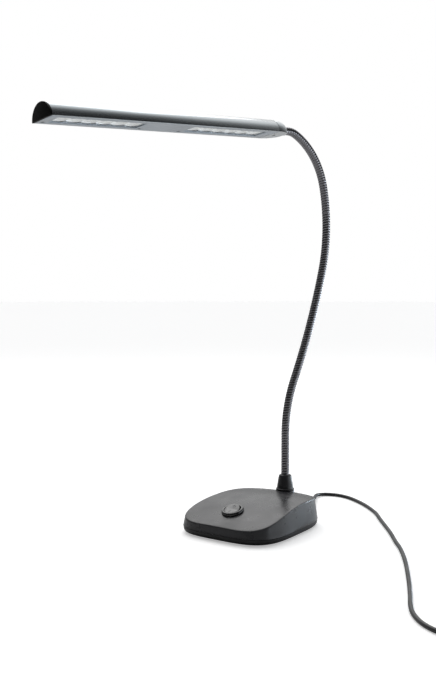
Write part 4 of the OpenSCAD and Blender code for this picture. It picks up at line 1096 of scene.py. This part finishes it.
class LAMP_OT_head(bpy.types.Operator):
    """Make the lamp head's shell, caps, plate and screws"""
    bl_idname = "lamp.head"
    bl_label = "Lamp head"

    def execute(self, context):
        mats = palette()
        h = context.scene.lamp_head
        half, high = h.half_width / MM, h.height / MM
        tail = h.tail_length / MM
        free = -tail - h.shell_length / MM
        metal = mats["Head metal"]

        # Shell: bent sheet with lips that hold the plate.
        inner = list(reversed(arch(half, high, SHELL_THICK)))
        outline = arch(half, high) + [(-LIP, 0.0), (-LIP, SHELL_THICK)] + inner + [(LIP, SHELL_THICK), (LIP, 0.0)]
        bm = bmesh.new()
        loft(bm, [section(outline, y) for y in (-tail - END_GAP, free + END_GAP)], True, True)
        make("head_cover", bm, metal, "head", ("head_shell",), sharp=40, bevel=0.22)

        # End cap: black D-shaped plate with a softened rim.
        bm = bmesh.new()
        rim = ((0, 0.25), (0.25, 0.0), (1.5, 0.0), (1.85, 0.15), (2.0, 0.5))
        loft(bm, [section(arch(half, high, inset, 40), free - y) for y, inset in rim], True, True)
        make("end_plate", bm, mats["Cap plastic"], "head", ("end_cap",), sharp=40)

        # Tail cap: the half-round section narrows along a blunt curve to the ferrule.
        rows = []
        for t in sorted({0.0, 0.012, 0.03} | {round(sin, 4) for _, sin in quarter(22, 1)}):
            k = max(0.0, 1 - t ** 1.9) ** 0.6
            line = arch(NOSE_HALF + (half - NOSE_HALF) * k, NOSE_HIGH + (high - NOSE_HIGH) * k, steps=40)
            y = -tail + (tail - NOSE_GAP) * t
            if t == 0:
                line, y = [(x * (1 - 0.25 / half), z * (1 - 0.25 / 30)) for x, z in line], y + 0.1
            rows.append(section(line, y))
        bm = bmesh.new()
        loft(bm, rows, True, True)
        cap = plain("tail", bm)
        holes = bmesh.new()
        rod(holes, 4.82, -4.2, 4.0, 40, HEAD @ turn_x(-math.pi / 2))
        rod(holes, SCREW_RECESS, -1.0, 1.05, 32, FLAT @ shift(0, TAIL_SCREW_Y, 0))
        cut(cap, holes)
        finish(cap, metal, "head", ("tail_cap",), sharp=38)

        # Plate, with its two windows cut right through and a recess for each screw.
        bm = bmesh.new()
        slab(bm, -14.4, 14.4, free + END_GAP, -tail - END_GAP, 0, 2.4, FLAT)
        plate = plain("plate", bm)
        long, width = window_size()
        holes = bmesh.new()
        for m in window_mids():
            slab(holes, -width / 2, width / 2, m - long / 2, m + long / 2, -1, 4, FLAT)
        cut(plate, holes)
        holes = bmesh.new()
        for x, y in plate_screw_places():
            rod(holes, SCREW_RECESS, -1, 1.0, 32, FLAT @ shift(x, y, 0))
        cut(plate, holes)
        finish(plate, mats["Plate metal"], "head", ("light_plate",), sharp=30, bevel=0.12)

        # Inner frames of the windows, with a scallop for each light cell.
        bm = bmesh.new()
        side, end = width / 2 + 0.05, long / 2 + 0.05
        for m in window_mids():
            inner = [(x, max(m - end + 0.4, min(m + end - 0.4, y))) for x, y in scallops(m)]
            count = len(inner) // 2
            outer = [(math.copysign(side, x), y if 0 < i % count < count - 1 else m + math.copysign(end, y - m))
                     for i, (x, y) in enumerate(inner)]
            loft(bm, [[FLAT @ Vector((x, y, z)) for x, y in line]
                      for line, z in ((outer, 0.6), (inner, 0.6), (inner, 1.1), (outer, 1.1))], joined=True)
        make("window_frames", bm, mats["Plate metal"], "head", sharp=30)

        # Screws with a crossed recess.
        arm = [(1.1, -0.2), (1.1, 0.2), (0.2, 0.2), (0.2, 1.1), (-0.2, 1.1), (-0.2, 0.2)]
        cross = arm + [(-x, -y) for x, y in arm]
        for name, places, node in (("plate_fasteners", plate_screw_places(), "plate_screws"),
                                   ("tail_fastener", [(0, TAIL_SCREW_Y)], "tail_screw")):
            bm, holes = bmesh.new(), bmesh.new()
            for x, y in places:
                at = FLAT @ shift(x, y, 0)
                spin(bm, [(0, 0.95), (1.85, 0.95), (1.85, 0.35), (1.6, 0.12), (1.1, 0.03), (0, 0)], 32, at)
                loft(holes, [[at @ Vector((px, py, z)) for px, py in cross] for z in (-0.3, 0.5)], True, True)
            screws = plain(name, bm)
            cut(screws, holes)
            finish(screws, mats["Dark screw"], "head", (node,), sharp=30)
        return {"FINISHED"}


def window_mids():
    h = bpy.context.scene.lamp_head
    half = h.window_length / MM / 2
    return (-h.tail_length / MM - 12 - half, -(h.tail_length + h.shell_length) / MM - 2 + 12 + half)


def plate_screw_places():
    h = bpy.context.scene.lamp_head
    reach = h.window_length / MM / 2 + 4.5
    return [(-11, m + s * reach) for m in window_mids() for s in (-1, 1) if m + s * reach < -h.tail_length / MM - 8]


def cell_places(m):
    """Middles of a window's cells along the head, and the step between them."""
    cells = bpy.context.scene.lamp_head.cells
    pitch = window_size()[0] / cells
    return [m + (i - (cells - 1) / 2) * pitch for i in range(cells)], pitch


def scallops(m):
    """Outline of overlapping round openings in a row, cut off square at both ends."""
    ys, pitch = cell_places(m)
    a = math.asin(pitch / 2 / SCALLOP)
    right = []
    for y in ys:
        for t in (-a + 2 * a * k / 12 for k in range(13)):
            p = (SCALLOP * math.cos(t), y + SCALLOP * math.sin(t))
            if not right or math.dist(p, right[-1]) > 0.01:
                right.append(p)
    return right + [(-x, y) for x, y in reversed(right)]


def cup_tree(material):
    """Geometry Nodes: a cup set on each point of a row."""
    tree, given = new_tree("Row of cups", [("Geometry", "Geometry"), ("Cup", "Object")])
    info = wire(tree, "GeometryNodeObjectInfo", {"Object": given["Cup"]}, transform_space="ORIGINAL")
    put = wire(tree, "GeometryNodeInstanceOnPoints", {
        "Points": given["Geometry"], "Instance": info.outputs["Geometry"]})
    return paint_out(tree, put.outputs[0], material)


def row_of(name, shape_bm, ys, material, node):
    """Copies a shape along the head at the given places by Geometry Nodes, as one piece."""
    bmesh.ops.recalc_face_normals(shape_bm, faces=shape_bm.faces)
    one = link(bpy.data.objects.new(name + "_one", mesh_from(name + "_one", shape_bm)))
    points = bpy.data.meshes.new(name + "_points")
    points.from_pydata([(0, y, CELL_BASE) for y in ys], [], [])
    mesh = run_tree(link(bpy.data.objects.new(name, points)), cup_tree(material), {"Cup": one})
    bpy.data.objects.remove(one)
    mesh.transform(METRES @ FLAT)
    mesh.name = name
    finish(link(bpy.data.objects.new(name, mesh)), material, "head", (node,), sharp=40)


class LAMP_OT_lights(bpy.types.Operator):
    """Make the light cells, emitters, boards and panes"""
    bl_idname = "lamp.lights"
    bl_label = "Light cells"

    def cell(self, half_x, half_y, sides=48):
        """A square of the tray with a dished cup, closed at the bottom, in a thin skin."""
        square = []
        for p in circle(1, 0, sides, 0.5):
            square.append(p * min(half_x / abs(p.x), half_y / abs(p.y)))
        cup = ((7.75, 0.0), (7.6, 0.12), (6.9, 0.9), (6.0, 1.7), (5.0, 2.35), (4.0, 2.75), (3.3, 2.9), (2.6, 2.95))
        bm = bmesh.new()
        rings = loft(bm, [square] + [circle(r, z, sides, 0.5) for r, z in cup])
        bmesh.ops.contextual_create(bm, geom=rings[-1])
        for f in bm.faces:
            if f.calc_center_median().z >= 0 and f.normal.z > 0:
                f.normal_flip()
        back = bmesh.ops.extrude_face_region(bm, geom=list(bm.faces))
        for v in back["geom"]:
            if isinstance(v, bmesh.types.BMVert):
                v.co.z = 3.2 if v.co.z < 2.6 else v.co.z + 0.25
        return bm

    def execute(self, context):
        mats = palette()
        long, width = window_size()
        drop = HEAD.to_3x3() @ Vector((0, 0, -CELLS_LOWER * MM))
        for k, m in enumerate(window_mids(), 1):
            ys, pitch = cell_places(m)
            cells = self.cell(9.45, pitch / 2)
            row_of(f"cells_{k}", cells, ys, mats["Cell white"], f"reflector_{k}")
            # Emitters: a square package with a domed yellow face.
            bm = bmesh.new()
            slab(bm, -1.7, 1.7, -1.7, 1.7, 2.35, 3.2)
            spin(bm, [(1.35, 2.4), (1.3, 2.22), (0.9, 2.12), (0, 2.08)], 24)
            row_of(f"emitters_{k}_row", bm, ys, mats["Emitter phosphor"], f"emitters_{k}")
            dressed(f"led_board_{k}", f"board_{k}", mats["Board white"], "head", 0.1,
                    reshape=lambda co: co + drop)
            bm = bmesh.new()
            slab(bm, -9.4, 9.4, m - long / 2 + 0.1, m + long / 2 - 0.1, 1.12, 1.52, FLAT)
            make(f"pane_{k}", bm, mats["Clear pane"], "head", (f"window_pane_{k}",))
        return {"FINISHED"}


# ---------------------------------------------------------------- panel, registration, run

class LAMP_PT_panel(bpy.types.Panel):
    bl_idname = "LAMP_PT_panel"
    bl_label = "Piano lamp"
    bl_space_type = "VIEW_3D"
    bl_region_type = "UI"
    bl_category = "Piano lamp"

    def draw(self, context):
        layout = self.layout
        for operator in OPERATORS:
            layout.operator(operator.bl_idname)
        for name in SETTINGS:
            group = getattr(context.scene, name)
            box = layout.box()
            box.label(text=name.replace("_", " ").capitalize())
            for prop in group.bl_rna.properties:
                if prop.identifier not in {"rna_type", "name"}:
                    box.prop(group, prop.identifier)


OPERATORS = (LAMP_OT_stage, LAMP_OT_lead, LAMP_OT_base, LAMP_OT_switch, LAMP_OT_neck, LAMP_OT_head, LAMP_OT_lights)
CLASSES = tuple(SETTINGS.values()) + OPERATORS + (LAMP_PT_panel,)


def register():
    for cls in CLASSES:
        bpy.utils.register_class(cls)
    for name, cls in SETTINGS.items():
        setattr(bpy.types.Scene, name, bpy.props.PointerProperty(type=cls))


def unregister():
    for name in SETTINGS:
        delattr(bpy.types.Scene, name)
    for cls in reversed(CLASSES):
        bpy.utils.unregister_class(cls)


def main():
    register()
    bpy.ops.lamp.stage()
    bpy.ops.lamp.lead()
    bpy.ops.lamp.base()
    bpy.ops.lamp.switch()
    bpy.ops.lamp.neck()
    bpy.ops.lamp.head()
    bpy.ops.lamp.lights()


if __name__ == "__main__":
    main()
